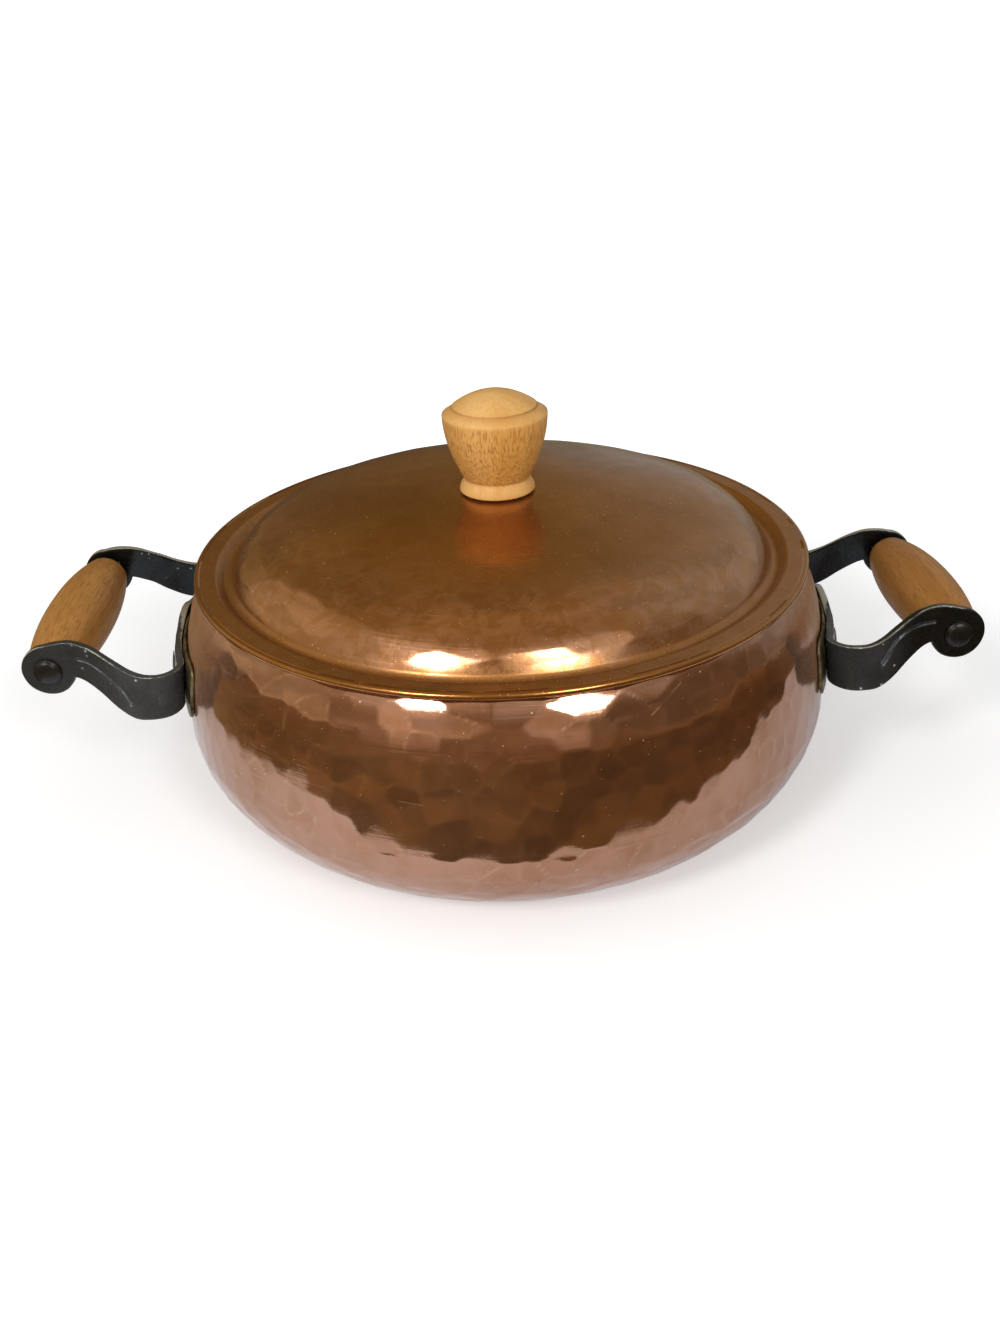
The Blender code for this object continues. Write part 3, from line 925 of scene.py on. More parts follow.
KNOB_WOOD = WoodFinish(
    name="knob_wood",
    pale=(0.76, 0.45, 0.160),
    deep=(0.57, 0.275, 0.058),
    pore=(0.36, 0.145, 0.028),
    grain=Grain.UPRIGHT,
    band_scale=70.0,
    pore_scale=2100.0,
    pore_limit=0.53,
    pore_strength=0.75,
    roughness=0.50,
)
GRIP_WOOD = WoodFinish(
    name="grip_wood",
    pale=(0.56, 0.27, 0.068),
    deep=(0.34, 0.145, 0.030),
    pore=(0.17, 0.066, 0.014),
    grain=Grain.LENGTHWISE,
    band_scale=110.0,
    pore_scale=1700.0,
    pore_limit=0.57,
    pore_strength=0.45,
    roughness=0.46,
)
# Painted shade: a darker, shaded copy of the grip wood, for the right handle's grip.
SHADED_GRIP_WOOD = replace(
    GRIP_WOOD, name="shaded_grip_wood", pale=(0.45, 0.205, 0.050), deep=(0.30, 0.124, 0.025)
)
BLACK_IRON = IronFinish(
    name="black_iron",
    black=(0.0160, 0.0165, 0.0165),
    grey=(0.0240, 0.0248, 0.0245),
    worn_and_sheen=(0.42, 0.41, 0.34),
    chip=(0.46, 0.45, 0.40),
    sheen=(0.86, 0.96, 1.0),
    painted_shade_colour=(0.0020, 0.0020, 0.0018),
    roughness=(0.20, 0.34),
)
# Painted light: a paler, lit copy of the black iron, for the left handle's strap.
LIT_LEFT_IRON = replace(
    BLACK_IRON, name="lit_left_iron", black=(0.030, 0.031, 0.031), grey=(0.048, 0.049, 0.049)
)
ROD_IRON = IronFinish(
    name="rod_iron",
    black=(0.007, 0.006, 0.005),
    grey=(0.020, 0.016, 0.013),
    worn_and_sheen=(0.24, 0.22, 0.19),
    chip=(0.24, 0.22, 0.19),
    sheen=(0.9, 0.95, 1.0),
    painted_shade_colour=(0.004, 0.004, 0.004),
    roughness=(0.22, 0.36),
)
# Painted shade: a darker, shaded copy of the rod iron, for the right handle's rod.
SHADED_ROD_IRON = replace(
    ROD_IRON, name="shaded_rod_iron", black=(0.003, 0.0025, 0.002), grey=(0.007, 0.006, 0.005)
)
PLATE_BRASS = PlainMetalFinish(
    name="olive_brass",
    clean=(0.26, 0.22, 0.125),
    stained=(0.035, 0.028, 0.013),
    roughness=(0.40, 0.58),
)
SCREW_STEEL = PlainMetalFinish(
    name="screw_steel",
    clean=(0.52, 0.52, 0.51),
    stained=(0.33, 0.31, 0.28),
    roughness=(0.28, 0.42),
)


# The pieces


@dataclass(frozen=True)
class PotSizes:
    """Sizes of the pot's shell that other pieces are seated on."""

    base_radius: float = 0.0700
    belly_radius: float = 0.1184
    belly_height: float = 0.0415
    mouth_radius: float = 0.1056
    lip_height: float = 0.0923
    wall: float = 0.0016
    shoulder_sweep: float = 0.968
    foot_power: float = 1.05

    def radius_at(self, height: Array) -> Array:
        """Work out the outer radius at a height.

        Above the belly it narrows as one less the root of one less the squared share of the rise.
        Below it swells as one less the share of the drop to a power, to another power.

        Args:
            height: Height above the floor.

        Returns:
            The radius.
        """
        height = np.asarray(height, float)
        rise = (height - self.belly_height) / (self.lip_height - self.belly_height)
        share = np.clip(self.shoulder_sweep * rise, 0.0, 1.0)
        full = 1.0 - math.sqrt(1.0 - self.shoulder_sweep**2)
        narrowing = (1.0 - np.sqrt(1.0 - share**2)) / full
        above = self.belly_radius - (self.belly_radius - self.mouth_radius) * narrowing
        drop = np.clip((self.belly_height - height) / self.belly_height, 0.0, 1.0)
        swell = np.clip(1.0 - drop ** (2.0 / self.foot_power), 0.0, 1.0)
        below = mix(self.base_radius, self.belly_radius, swell ** (0.5 * self.foot_power))
        return np.where(height >= self.belly_height, above, below)


POT = PotSizes()


@dataclass(frozen=True)
class HammeredPot:
    """The pot's body: a hammered shell with a rounded lip and a tinned inside."""

    sizes: PotSizes = POT
    columns: int = 620
    wall_rows: int = 124
    base_rows: int = 5
    lip_rows: int = 5
    inside_rows: int = 20
    lip_fade: float = 0.0030
    foot_fade: float = 0.0040
    inside_share: float = 0.4
    lip_ridge: float = 0.7
    lip_tin: float = 0.3
    grime_share: float = 0.95
    grime_width: float = 0.13
    grime_start: float = 0.045
    grime_rise: float = 0.020
    # Painted highlight: how much paler the ridges are painted high on the front, from what height,
    # over what rise and how far round.
    front_ridge_highlight: float = 0.5
    highlight_start: float = 0.068
    highlight_rise: float = 0.012
    highlight_spread: tuple[float, float] = (-1.4, -0.3)
    hammering: Hammering = Hammering(
        spacing=0.0086,
        jitter=0.24,
        flatness=1.20,
        tilt=0.0125,
        depth=0.00004,
        ridge=0.000022,
        seed=11,
    )

    def wall_line(self) -> Array:
        """Draw the outer wall, from the base's edge up to the lip.

        Returns:
            The wall's (radius, height) points.
        """
        sizes = self.sizes
        sweep = np.linspace(1.0, 0.0, 600)
        foot = sizes.belly_height * (1.0 - np.sin(0.5 * np.pi * sweep) ** sizes.foot_power)
        top = sizes.lip_height - 0.5 * sizes.wall
        shoulder = np.linspace(sizes.belly_height, top, 400)[1:]
        heights = np.concatenate((foot, shoulder))
        return pair(sizes.radius_at(heights), heights)

    def inside(self, wall: Array, normals: Array, relief: Array) -> tuple[Array, Array]:
        """Draw the inside: the wall's offset, with a share of its relief, and the floor.

        Args:
            wall: The outer wall's line.
            normals: Its normals.
            relief: How far each of its points is pressed out.

        Returns:
            The wall's inside for every column, from the lip down, and the floor's line.
        """
        thick = self.sizes.wall
        line = wall - normals * thick
        line = line[line[:, 1] > thick]
        pick = np.linspace(len(line) - 1, 0, self.inside_rows).astype(int)
        pick += len(wall) - len(line)
        wall_inside = wall[pick] - normals[pick] * thick
        inside = raised(wall_inside, normals[pick], self.inside_share * relief[pick])
        radii = np.linspace(wall_inside[-1, 0], 0.0, self.base_rows + 1)[1:]
        return inside, pair(radii, np.full_like(radii, thick))

    def wear(self, angles: Array, height: Array, ridge: Array, lengths: list[int]) -> Marks:
        """Work out where the shell is worn, tinned and grimy.

        Ridges are worn pale, and high on the front they are painted paler still as painted
        highlight.
        Grime lies beside the handles in a bell over the angle from them.

        Args:
            angles: Angle of each column.
            height: Height of each point.
            ridge: How near each point of the wall lies to a ridge.
            lengths: Number of rows of the base, wall, lip, inside and floor.

        Returns:
            The marks by name.
        """
        ends = np.cumsum(lengths)
        marks = np.zeros(height.shape)
        marks[ends[0] : ends[1]] = ridge
        marks[ends[1] : ends[2]] = self.lip_ridge
        # Painted highlight: ridges high on the front are painted paler.
        factor, shift = self.highlight_spread
        front = ease(factor * np.sin(angles) + shift)
        high = ease((height - self.highlight_start) / self.highlight_rise)
        marks *= 1.0 + self.front_ridge_highlight * high * front
        tinned = np.repeat([0.0, 0.0, self.lip_tin, 1.0, 1.0], lengths)[:, None]
        beside = bell(1.0 - np.abs(np.cos(angles)), self.grime_width)
        upper = ease((height - self.grime_start) / self.grime_rise)
        return {"ridge": marks, "tinned": tinned, "dull": self.grime_share * beside * upper}

    def build(self) -> bpy.types.Object:
        """Make the shell: base, hammered wall, half-round lip, and the wall's offset inside.

        Returns:
            The new piece.
        """
        sizes = self.sizes
        angles = turn_angles(self.columns)
        wall, arc = resample(self.wall_line(), self.wall_rows)
        normals = side_normals(wall)
        relief, ridge = self.hammering.relief(wall, angles)
        fade = ease(arc / self.foot_fade) * ease((arc[-1] - arc) / self.lip_fade)
        relief *= fade[:, None]
        outside = raised(wall, normals, relief)
        outside[..., 1] = np.maximum(outside[..., 1], 0.0)

        base_radii = np.linspace(0.0, sizes.base_radius, self.base_rows, endpoint=False)
        turn = np.linspace(0.0, np.pi, self.lip_rows + 2)[1:-1, None]
        across = normals[-1] * 0.5 * sizes.wall
        upward = np.array((-across[1], across[0]))
        lip = wall[-1] - across + np.cos(turn) * across + np.sin(turn) * upward
        inside, floor = self.inside(wall, normals, relief)
        rows = [
            repeated(pair(base_radii, 0.0 * base_radii), self.columns),
            outside,
            repeated(lip, self.columns),
            inside,
            repeated(floor, self.columns),
        ]
        line = np.concatenate(rows)
        lengths = [len(part) for part in rows]
        marks = self.wear(angles, line[..., 1], ridge * fade[:, None], lengths)
        return grid_piece("hammered_pot", spun(line, angles), False, True, marks)

    def dress(self) -> None:
        """Build the pot and put it on its body."""
        finish_piece(self.build(), POT_COPPER, "pot", "copper", "pot_body")


@dataclass(frozen=True)
class CopperLid:
    """The lid: a flat domed sheet with a groove round its foot, a flange and a rolled bead."""

    sizes: PotSizes = POT
    sheet: float = 0.0012
    overhang: float = 0.0044
    play: float = 0.0016
    bead_radius: float = 0.0013
    bead_drop: float = 0.0011
    groove_width: float = 0.0060
    groove_depth: float = 0.0027
    groove_radius: float = 0.0020
    foot_drop: float = 0.0016
    crown_rise: float = 0.0120
    shoulder_rise: float = 0.0104
    shoulder_power: float = 16.0
    hole_radius: float = 0.0028
    columns: int = 560
    top_rows: int = 122
    bead_rows: int = 12
    under_rows: int = 24
    under_share: float = 0.5
    dense_from: float = 0.084
    dense_rise: float = 0.007
    dense_share: float = 1.7
    crown_radius: float = 0.035
    crown_width: float = 0.045
    left_turn: float = 0.4
    flat_relief: float = 0.16
    dome_relief: float = 0.26
    left_relief: float = 0.64
    foot_fade: float = 0.006
    flange_fade: float = 0.002
    bead_ridge: float = 0.10
    dome_ridge: float = 0.35
    left_ridge_highlight: float = 0.75
    dull_start: float = 0.0020
    dull_rise: float = 0.003
    dust_radius: float = 0.034
    dust_share: float = 0.4
    flange_clean: float = 0.9
    clean_highlight_radius: float = 0.068
    clean_highlight_width: float = 0.022
    left_reach: float = 0.023
    groove_shade_offset: float = 0.0024
    groove_shade_width: float = 0.0013
    hammering: Hammering = Hammering(
        spacing=0.0095, jitter=0.32, flatness=1.0, tilt=0.0085, depth=0.00005, ridge=0.00002, seed=5
    )

    @property
    def groove_edge(self) -> float:
        """Radius where the flange turns down into the groove."""
        return self.sizes.mouth_radius - self.sizes.wall - self.play

    @property
    def dome_radius(self) -> float:
        """Radius of the dome's foot."""
        return self.groove_edge - self.groove_width

    @property
    def flange_top(self) -> float:
        """Height of the flange's top."""
        return self.sizes.lip_height + GAP + self.sheet

    @property
    def bead_middle(self) -> float:
        """Radius of the middle of the bead's section."""
        return self.sizes.mouth_radius + self.overhang - self.bead_radius

    def outward(self, radius: Array) -> Array:
        """Share of the way out from the flat crown."""
        return ease((radius - self.crown_radius) / self.crown_width)

    def leftward(self, angles: Array) -> Array:
        """Share from right to left: half of one less the cosine of the turned angle."""
        return 0.5 - 0.5 * np.cos(angles - self.left_turn)

    def dome_height(self, radius: Array | float) -> Array:
        """Work out the dome's height: a parabola, and a shoulder that falls with a high power.

        Args:
            radius: Distance from the pot's axis.

        Returns:
            The height.
        """
        share = np.asarray(radius, float) / self.dome_radius
        crown = self.crown_rise * (1.0 - share**2)
        shoulder = self.shoulder_rise * (1.0 - share**self.shoulder_power)
        return self.flange_top - self.foot_drop + crown + shoulder

    def top_line(self) -> Array:
        """Draw the top from the screw's hole out to the bead.

        Its rows are closer together on the shoulder, the groove and the flange.

        Returns:
            The top's (radius, height) points.
        """
        radii = self.dome_radius * np.sin(np.linspace(0.0, 0.5 * np.pi, 700))
        radii = radii[radii > self.hole_radius]
        dome = pair(radii, self.dome_height(radii))
        turn = np.radians(np.linspace(212.0, 318.0, 60))
        floor = self.flange_top - self.groove_depth + self.groove_radius
        across = self.dome_radius + self.groove_radius * (1.0 + np.cos(turn))
        groove = pair(across, floor + self.groove_radius * np.sin(turn))
        start = math.asin(self.bead_drop / self.bead_radius)
        meet = self.bead_middle - self.bead_radius * math.cos(start)
        flange = pair(np.linspace(self.groove_edge, meet, 60), np.full(60, self.flange_top))
        dense, _ = resample(np.concatenate((dome, groove, flange)), 1600)
        dense = soften(dense, CORNER)
        crowding = ease((dense[:, 0] - self.dense_from) / self.dense_rise)
        weight = np.cumsum(1.0 + self.dense_share * crowding)
        wanted = np.linspace(weight[0], weight[-1], self.top_rows)
        return pair(*(np.interp(wanted, weight, dense[:, axis]) for axis in range(2)))

    def bead_line(self) -> Array:
        """Draw the rolled bead, from the flange's top round to its underside.

        Returns:
            The bead's (radius, height) points.
        """
        height = self.flange_top - self.bead_drop
        start = math.pi - math.asin(self.bead_drop / self.bead_radius)
        end = -math.pi + math.asin((self.sheet - self.bead_drop) / self.bead_radius)
        turn = np.linspace(start, end, self.bead_rows)
        across = self.bead_middle + self.bead_radius * np.cos(turn)
        return pair(across, height + self.bead_radius * np.sin(turn))

    def wear(self, angles: Array, radius: Array, ridge: Array, lengths: list[int]) -> Marks:
        """Work out where the sheet is worn, tinned, dull, clean and sunk.

        The dome's foot and groove are dull. The dome's shoulder is pinker clean copper at the front
        and left, which also tints the highlights there as painted highlight, its ridges are painted
        paler on the left as wear and painted highlight, and the groove's outer wall is darkened as
        painted shade, most on the left.

        Args:
            angles: Angle of each column.
            radius: Radius of each row of the top, as one column.
            ridge: How near each point of the top lies to a ridge.
            lengths: Number of rows of the top, bead and underside.

        Returns:
            The marks by name.
        """
        top = lengths[0]
        names = ("ridge", "dull", "clean", "sunk")
        marks = {name: np.zeros((sum(lengths), angles.shape[1])) for name in names}
        left = self.leftward(angles)
        # Worn ridges, painted paler still on the left of the dome as painted highlight.
        worn = self.dome_ridge + self.left_ridge_highlight * self.outward(radius) * left
        marks["ridge"][:top] = ridge * worn
        marks["ridge"][top : top + lengths[1]] = self.bead_ridge

        past_foot = ease((radius - self.dome_radius + self.dull_start) / self.dull_rise)
        on_flange = ease((radius - self.groove_edge + 0.001) / self.flange_fade)
        dusty = self.dust_share * (1.0 - ease(radius / self.dust_radius))
        marks["dull"][:top] = past_foot * (1.0 - self.flange_clean * on_flange) + dusty

        # Pinker clean copper on the shoulder's front and left, which tints the highlights there as
        # painted highlight.
        inward = self.left_reach * left
        start = self.clean_highlight_radius - inward
        shoulder = ease((radius - start) / (self.clean_highlight_width + 0.7 * inward))
        front = mix(0.10, 1.0, ease(0.45 - np.sin(angles + 0.15)))
        marks["clean"][:top] = shoulder * np.maximum(front, 0.75 * left) * (1.0 - 0.4 * on_flange)

        # Painted shade on the groove's outer wall, darkest on the left.
        wall = bell(radius - self.groove_edge + self.groove_shade_offset, self.groove_shade_width)
        marks["sunk"][:top] = wall * mix(0.15, 1.0, left**2)
        marks["tinned"] = np.repeat([0.0, 0.0, 1.0], lengths)[:, None]
        return marks

    def build(self) -> bpy.types.Object:
        """Make the lid: softly hammered top, bead, and the top's offset underside.

        The blows show most on the left of the dome, fade at its foot, and show a little on the
        flange.

        Returns:
            The new piece.
        """
        angles = turn_angles(self.columns)
        top = self.top_line()
        normals = -side_normals(top)
        relief, ridge = self.hammering.relief(top, angles)
        radius = top[:, :1]
        dome_share = self.dome_relief + self.left_relief * self.leftward(angles)
        share = self.flat_relief + self.outward(radius) * dome_share
        share = share * ease((self.dome_radius + 0.001 - radius) / self.foot_fade)
        on_flange = ease((radius - self.groove_edge) / self.flange_fade)
        share = share + self.flat_relief * on_flange

        pick = np.linspace(self.top_rows - 1, 0, self.under_rows).astype(int)
        under_line = (top - normals * self.sheet)[pick]
        under_relief = (self.under_share * relief * share)[pick]
        rows = (
            raised(top, normals, relief * share),
            repeated(self.bead_line(), self.columns),
            raised(under_line, normals[pick], under_relief),
        )
        marks = self.wear(angles, radius, ridge * share, [len(part) for part in rows])
        return grid_piece("copper_lid", spun(np.concatenate(rows), angles), True, True, marks)

    def dress(self) -> None:
        """Build the lid and put it on its body."""
        finish_piece(self.build(), LID_COPPER, "lid_set", "copper", "lid")


@dataclass(frozen=True)
class Knob:
    """The turned knob, and the screw and washer that hold it from below the lid."""

    lid: CopperLid
    height: float = 0.0357
    radius: float = 0.0184
    foot_radius: float = 0.0134
    waist_radius: float = 0.0116
    waist_height: float = 0.0050
    shoulder_height: float = 0.0279
    cap_radius: float = 0.0148
    cap_height: float = 0.0051
    groove: float = 0.0006
    shelf_width: float = 0.0006
    foot_edge: float = 0.0006
    foot_rise: float = 0.0005
    bore_depth: float = 0.0160
    cup_power: float = 0.9
    closed_pores: float = 0.12
    screw_radius: float = 0.0025
    screw_head_radius: float = 0.0045
    screw_head_height: float = 0.0020
    washer_radius: float = 0.0080
    washer_thickness: float = 0.0012
    columns: int = 160

    def knob_line(self) -> tuple[Array, Marks]:
        """Draw the knob's outline, from the top of its cap down to its bore.

        The cap is a parabola, the cup swells as a sine to a power between the waist and the
        shoulder, and the foot flares out from the waist and ends in a rounded edge.

        Returns:
            The outline, and its marks of soil and open pores by name.
        """
        cap_base = self.height - self.cap_height
        share = np.linspace(0.0, 1.0, 40)
        cap = pair(self.cap_radius * share, cap_base + self.cap_height * (1.0 - share**2))
        notch = np.array(
            [
                (self.cap_radius - self.groove, cap_base - 0.5 * self.groove),
                (self.cap_radius - 0.2 * self.groove, cap_base - self.groove),
                (self.cap_radius + self.shelf_width, cap_base - 1.4 * self.groove),
            ]
        )
        fall = np.linspace(1.0, 0.0, 60)
        swell = np.sin(0.5 * np.pi * fall) ** self.cup_power
        across = mix(self.waist_radius, self.radius, swell)
        cup = pair(across, mix(self.waist_height, self.shoulder_height, fall))
        drop = np.linspace(0.0, 1.0, 24)[1:]
        across = mix(self.waist_radius, self.foot_radius, np.sin(0.5 * np.pi * drop) ** 1.4)
        flare = pair(across, self.waist_height * (1.0 - drop) + self.foot_rise * drop)
        bore = self.screw_radius + GAP
        bottom = np.array(
            [
                (self.foot_radius - self.foot_edge, 0.0),
                (bore, 0.0),
                (bore, self.bore_depth),
                (0.0, self.bore_depth),
            ]
        )
        line = np.concatenate((cap, notch, cup, flare, bottom))
        first = len(cap) + len(notch)
        last = first + len(cup)
        soiled = np.zeros(len(line))
        soiled[len(cap) : first] = (0.3, 0.7, 0.3)
        soiled[last - 3 : last + 3] = 0.2
        pores = np.full(len(line), self.closed_pores)
        opened = ease(np.linspace(0.0, 12.0, len(cup)))
        pores[first:last] = opened * (1.0 - self.closed_pores) + self.closed_pores
        return line, {"soiled": soiled, "pores": pores}

    def washer_line(self) -> Array:
        """Draw the washer's section, a ring with its top at no height.

        Returns:
            The section's (radius, height) points.
        """
        bore = self.screw_radius + GAP
        thick = self.washer_thickness
        edge = 0.15 * thick
        return np.array(
            [
                (bore, 0.0),
                (self.washer_radius - edge, 0.0),
                (self.washer_radius, -edge),
                (self.washer_radius, -thick + edge),
                (self.washer_radius - edge, -thick),
                (bore, -thick),
            ]
        )

    def screw_line(self, tip: float) -> Array:
        """Draw the screw's outline, from its tip down to its domed head.

        Args:
            tip: Height of the tip above the head's seat.

        Returns:
            The outline's (radius, height) points.
        """
        turn = np.linspace(0.0, 0.5 * np.pi, 14)
        across = self.screw_head_radius * np.cos(turn) ** 0.5
        head = pair(across, -self.screw_head_height * np.sin(turn))
        shaft = np.array([(0.0, tip), (self.screw_radius, tip), (self.screw_radius, 0.0)])
        return np.concatenate((shaft, head))

    def dress(self) -> None:
        """Build the knob, washer and screw and put them on the lid's body."""
        lid_top = float(self.lid.dome_height(0.0))
        line, marks = self.knob_line()
        seat = Matrix.Translation((0.0, 0.0, lid_top + GAP))
        knob = turned_piece("turned_knob", line, self.columns, False, seat, marks)
        finish_piece(knob, KNOB_WOOD, "lid_set", "pale_wood", "knob")

        washer_top = lid_top - self.lid.sheet - GAP
        seat = Matrix.Translation((0.0, 0.0, washer_top))
        washer = turned_piece("round_washer", self.washer_line(), 96, True, seat)
        finish_piece(washer, SCREW_STEEL, "lid_set", "steel", "knob_washer")

        head_top = washer_top - self.washer_thickness - GAP
        screw_line = self.screw_line(lid_top + self.bore_depth - head_top)
        seat = Matrix.Translation((0.0, 0.0, head_top))
        screw = turned_piece("domed_screw", screw_line, 64, False, seat)
        finish_piece(screw, SCREW_STEEL, "lid_set", "steel", "knob_screw")


@dataclass(frozen=True)
class Handle:
    """One handle: a forged strap with two eyes, its mount plate, rivets, rod and grip."""

    hand: Hand
    stand_off: float
    drop: float
    tilt: float
    crease_path: Outline
    seed: int
    strap_iron: IronFinish
    rod_iron: IronFinish
    wood: WoodFinish
    # How dark the painted shade round the eyes is.
    eye_shade: float
    sizes: PotSizes = POT
    strap: float = 0.0026
    strap_edge: float = 0.0006
    strap_top: float = -0.0009
    strap_bottom: float = -0.0162
    boss_rise: float = 0.0037
    boss_half_width: float = 0.0150
    corner_radius: float = 0.0094
    corner_reach_top: float = 0.04825
    corner_reach_bottom: float = 0.0507
    eye_radius: float = 0.0092
    eye_thickness: float = 0.0030
    crest_setback: float = 0.0070
    crest_height: float = 0.0105
    notch_depth: float = 0.0026
    arm_lean: float = 0.00035
    rise_delay_top: float = 0.0010
    rise_delay_bottom: float = 0.0035
    crease_depth: float = 0.00075
    crease_half_width: float = 0.00060
    outer_points: int = 56
    inner_points: int = 24
    plate: float = 0.0012
    plate_half_length: float = 0.0470
    plate_top_margin: float = 0.0020
    plate_bottom_margin: float = 0.0040
    plate_corner: float = 0.0050
    plate_round: float = 0.12
    plate_wave: float = 0.0002
    rivet_spacing: float = 0.0240
    rivet_radius: float = 0.0025
    rivet_head_radius: float = 0.0055
    rivet_head_height: float = 0.0020
    rivet_outer_head_radius: float = 0.0046
    rivet_outer_head_height: float = 0.0006
    rivet_seat_play: float = 0.00025
    rod_radius: float = 0.0032
    rod_head_radius: float = 0.0048
    rod_head_top_radius: float = 0.0040
    rod_head_height: float = 0.0018
    rod_head_sag: float = 0.00045
    rod_ring: float = 0.0003
    grip_length: float = 0.0755
    grip_end_play: float = 0.0021
    grip_radius: float = 0.0119
    grip_end_radius: float = 0.0080
    grip_power: float = 2.2
    grip_chamfer: float = 0.0008
    grip_soil: float = 0.0030
    wave_count: int = 14
    wave_depth: float = 0.000022
    wave_turns: tuple[float, float] = (250.0, 900.0)
    wave_fade: float = 6.0
    arris_width: float = 0.0005
    edge_width: float = 0.0004
    face_width: float = 0.0003
    middle_width: float = 0.012
    # Where the painted shade on the far arm and round the eyes starts, and over what length it
    # rises.
    shade_start: float = 0.02
    shade_rise: float = 0.02
    eye_shade_start: float = 0.030
    eye_shade_rise: float = 0.016
    step: float = 0.0002

    @property
    def side(self) -> str:
        """The handle's side in lower case, as its nodes are named."""
        return self.hand.name.lower()

    @property
    def backward(self) -> float:
        """1 where the handle's +Y points to the back of the pot, otherwise -1."""
        return 1.0 if self.hand is Hand.RIGHT else -1.0

    @property
    def reach(self) -> float:
        """Distance of the rod from the pot's axis."""
        return self.sizes.belly_radius + self.stand_off

    @property
    def rod_height(self) -> float:
        """Height of the rod's middle."""
        return self.sizes.lip_height - self.drop

    @property
    def eye_middle(self) -> float:
        """Distance along the rod from its middle to the middle of an eye."""
        return 0.5 * (self.grip_length + self.grip_end_play) + GAP + 0.5 * self.eye_thickness

    @property
    def place(self) -> Matrix:
        """The handle's own frame in the world."""
        turn = Matrix.Rotation(self.hand.value, 4, "Z") @ Matrix.Rotation(self.tilt, 4, "X")
        return Matrix.Translation((0.0, 0.0, self.rod_height)) @ turn

    def seat_x(self, y: Array | float, z: Array | float, offset: Array | float) -> Array:
        """Find X of the point at (y, z) that lies at an offset from the pot's wall.

        Args:
            y: Distance along the rod.
            z: Height above the rod, at a right angle to it.
            offset: Distance outside the wall.

        Returns:
            Distance from the pot's axis, along the handle.
        """
        around = y * math.cos(self.tilt) - z * math.sin(self.tilt)
        height = self.rod_height + y * math.sin(self.tilt) + z * math.cos(self.tilt)
        return np.sqrt((self.sizes.radius_at(height) + offset) ** 2 - around**2)

    def section(self) -> tuple[Array, Array, Array]:
        """Draw the points round the strap's section, a rectangle with rounded edges.

        Returns:
            For each point its level, 0 at the bottom and 1 at the top, its distance in from the
            bottom or top edge, and its depth from the outside face.
        """
        edge = self.strap_edge
        turn = np.linspace(0.0, 0.5 * np.pi, 5)[1:]
        outer = np.linspace(0.0, 1.0, self.outer_points)
        inner = np.linspace(1.0, 0.0, self.inner_points)
        rise = edge * (1.0 - np.sin(turn))
        bite = edge * (1.0 - np.cos(turn))
        back = rise[-2::-1]
        high = np.ones(2 * len(turn) - 1)
        level = np.concatenate((outer, high, inner, 0.0 * high))
        round_edge = np.concatenate((rise, back))
        inward = np.concatenate(
            (np.full(len(outer), edge), round_edge, np.full(len(inner), edge), round_edge)
        )
        far = self.strap - bite
        depth = np.concatenate(
            (
                np.zeros(len(outer)),
                np.concatenate((bite, far[-2::-1])),
                np.full(len(inner), self.strap),
                np.concatenate((far, bite[-2::-1])),
            )
        )
        return level[:, None], inward[:, None], depth[:, None]

    def half_strap(self, side: float) -> Array:
        """Draw half of the strap, from the middle of its back out round the eye.

        The back keeps an offset from the wall, the corner is an arc that touches the back and the
        arm, and the arm eases out to the eye. The bottom line ends in the eye's lower arc and the
        top line in its upper arc, and the section spans the two lines.

        Args:
            side: 1 for the half at +Y of the handle, -1 for the half at -Y.

        Returns:
            Points, section by station by 3, in the handle's frame.
        """
        level, inward, depth = self.section()
        lift = inward * np.where(level > 0.5, -1.0, 1.0)
        between = (level > 0.0) & (level < 1.0)
        lift = np.where(between, self.strap_edge * (1.0 - 2.0 * level), lift)
        offset = GAP + self.plate + GAP
        low = mix(self.strap_bottom, self.strap_top, level)
        corner_reach = mix(self.corner_reach_bottom, self.corner_reach_top, level)
        near_corner = side * 0.8 * corner_reach
        seat_radius = np.hypot(self.seat_x(near_corner, low, offset), near_corner)
        turn = np.arcsin((corner_reach - self.corner_radius) / (seat_radius + self.corner_radius))
        back_half = seat_radius * np.sin(turn)

        along = np.linspace(0.0, 1.0, 56)[None, :]
        y = back_half * along
        boss = self.boss_rise * (1.0 - ease(y / self.boss_half_width))
        z = low + lift + boss * level
        x = self.seat_x(side * y, z, offset)
        size = np.hypot(x, y)
        back = np.stack((x + depth * x / size, y + depth * y / size, z), axis=-1)

        end_x = self.seat_x(side * back_half, low + lift, offset)
        size = np.hypot(end_x, back_half)
        out_x = end_x / size
        out_y = back_half / size
        centre_x = end_x + out_x * self.corner_radius
        centre_y = back_half + out_y * self.corner_radius
        start = np.pi + np.arctan2(out_y, out_x)
        angle = mix(start, 0.5 * np.pi, np.linspace(0.0, 1.0, 26)[None, 1:])
        bend = self.corner_radius - depth
        across = centre_x + bend * np.cos(angle)
        corner = (across, centre_y + bend * np.sin(angle), low + lift + 0.0 * angle)
        corner = np.stack(corner, axis=-1)

        arm = self.arm_and_eye(level, inward, depth, centre_x, centre_y + self.corner_radius)
        half = np.concatenate((back, corner, arm), axis=1)
        half[..., 1] *= side
        return half

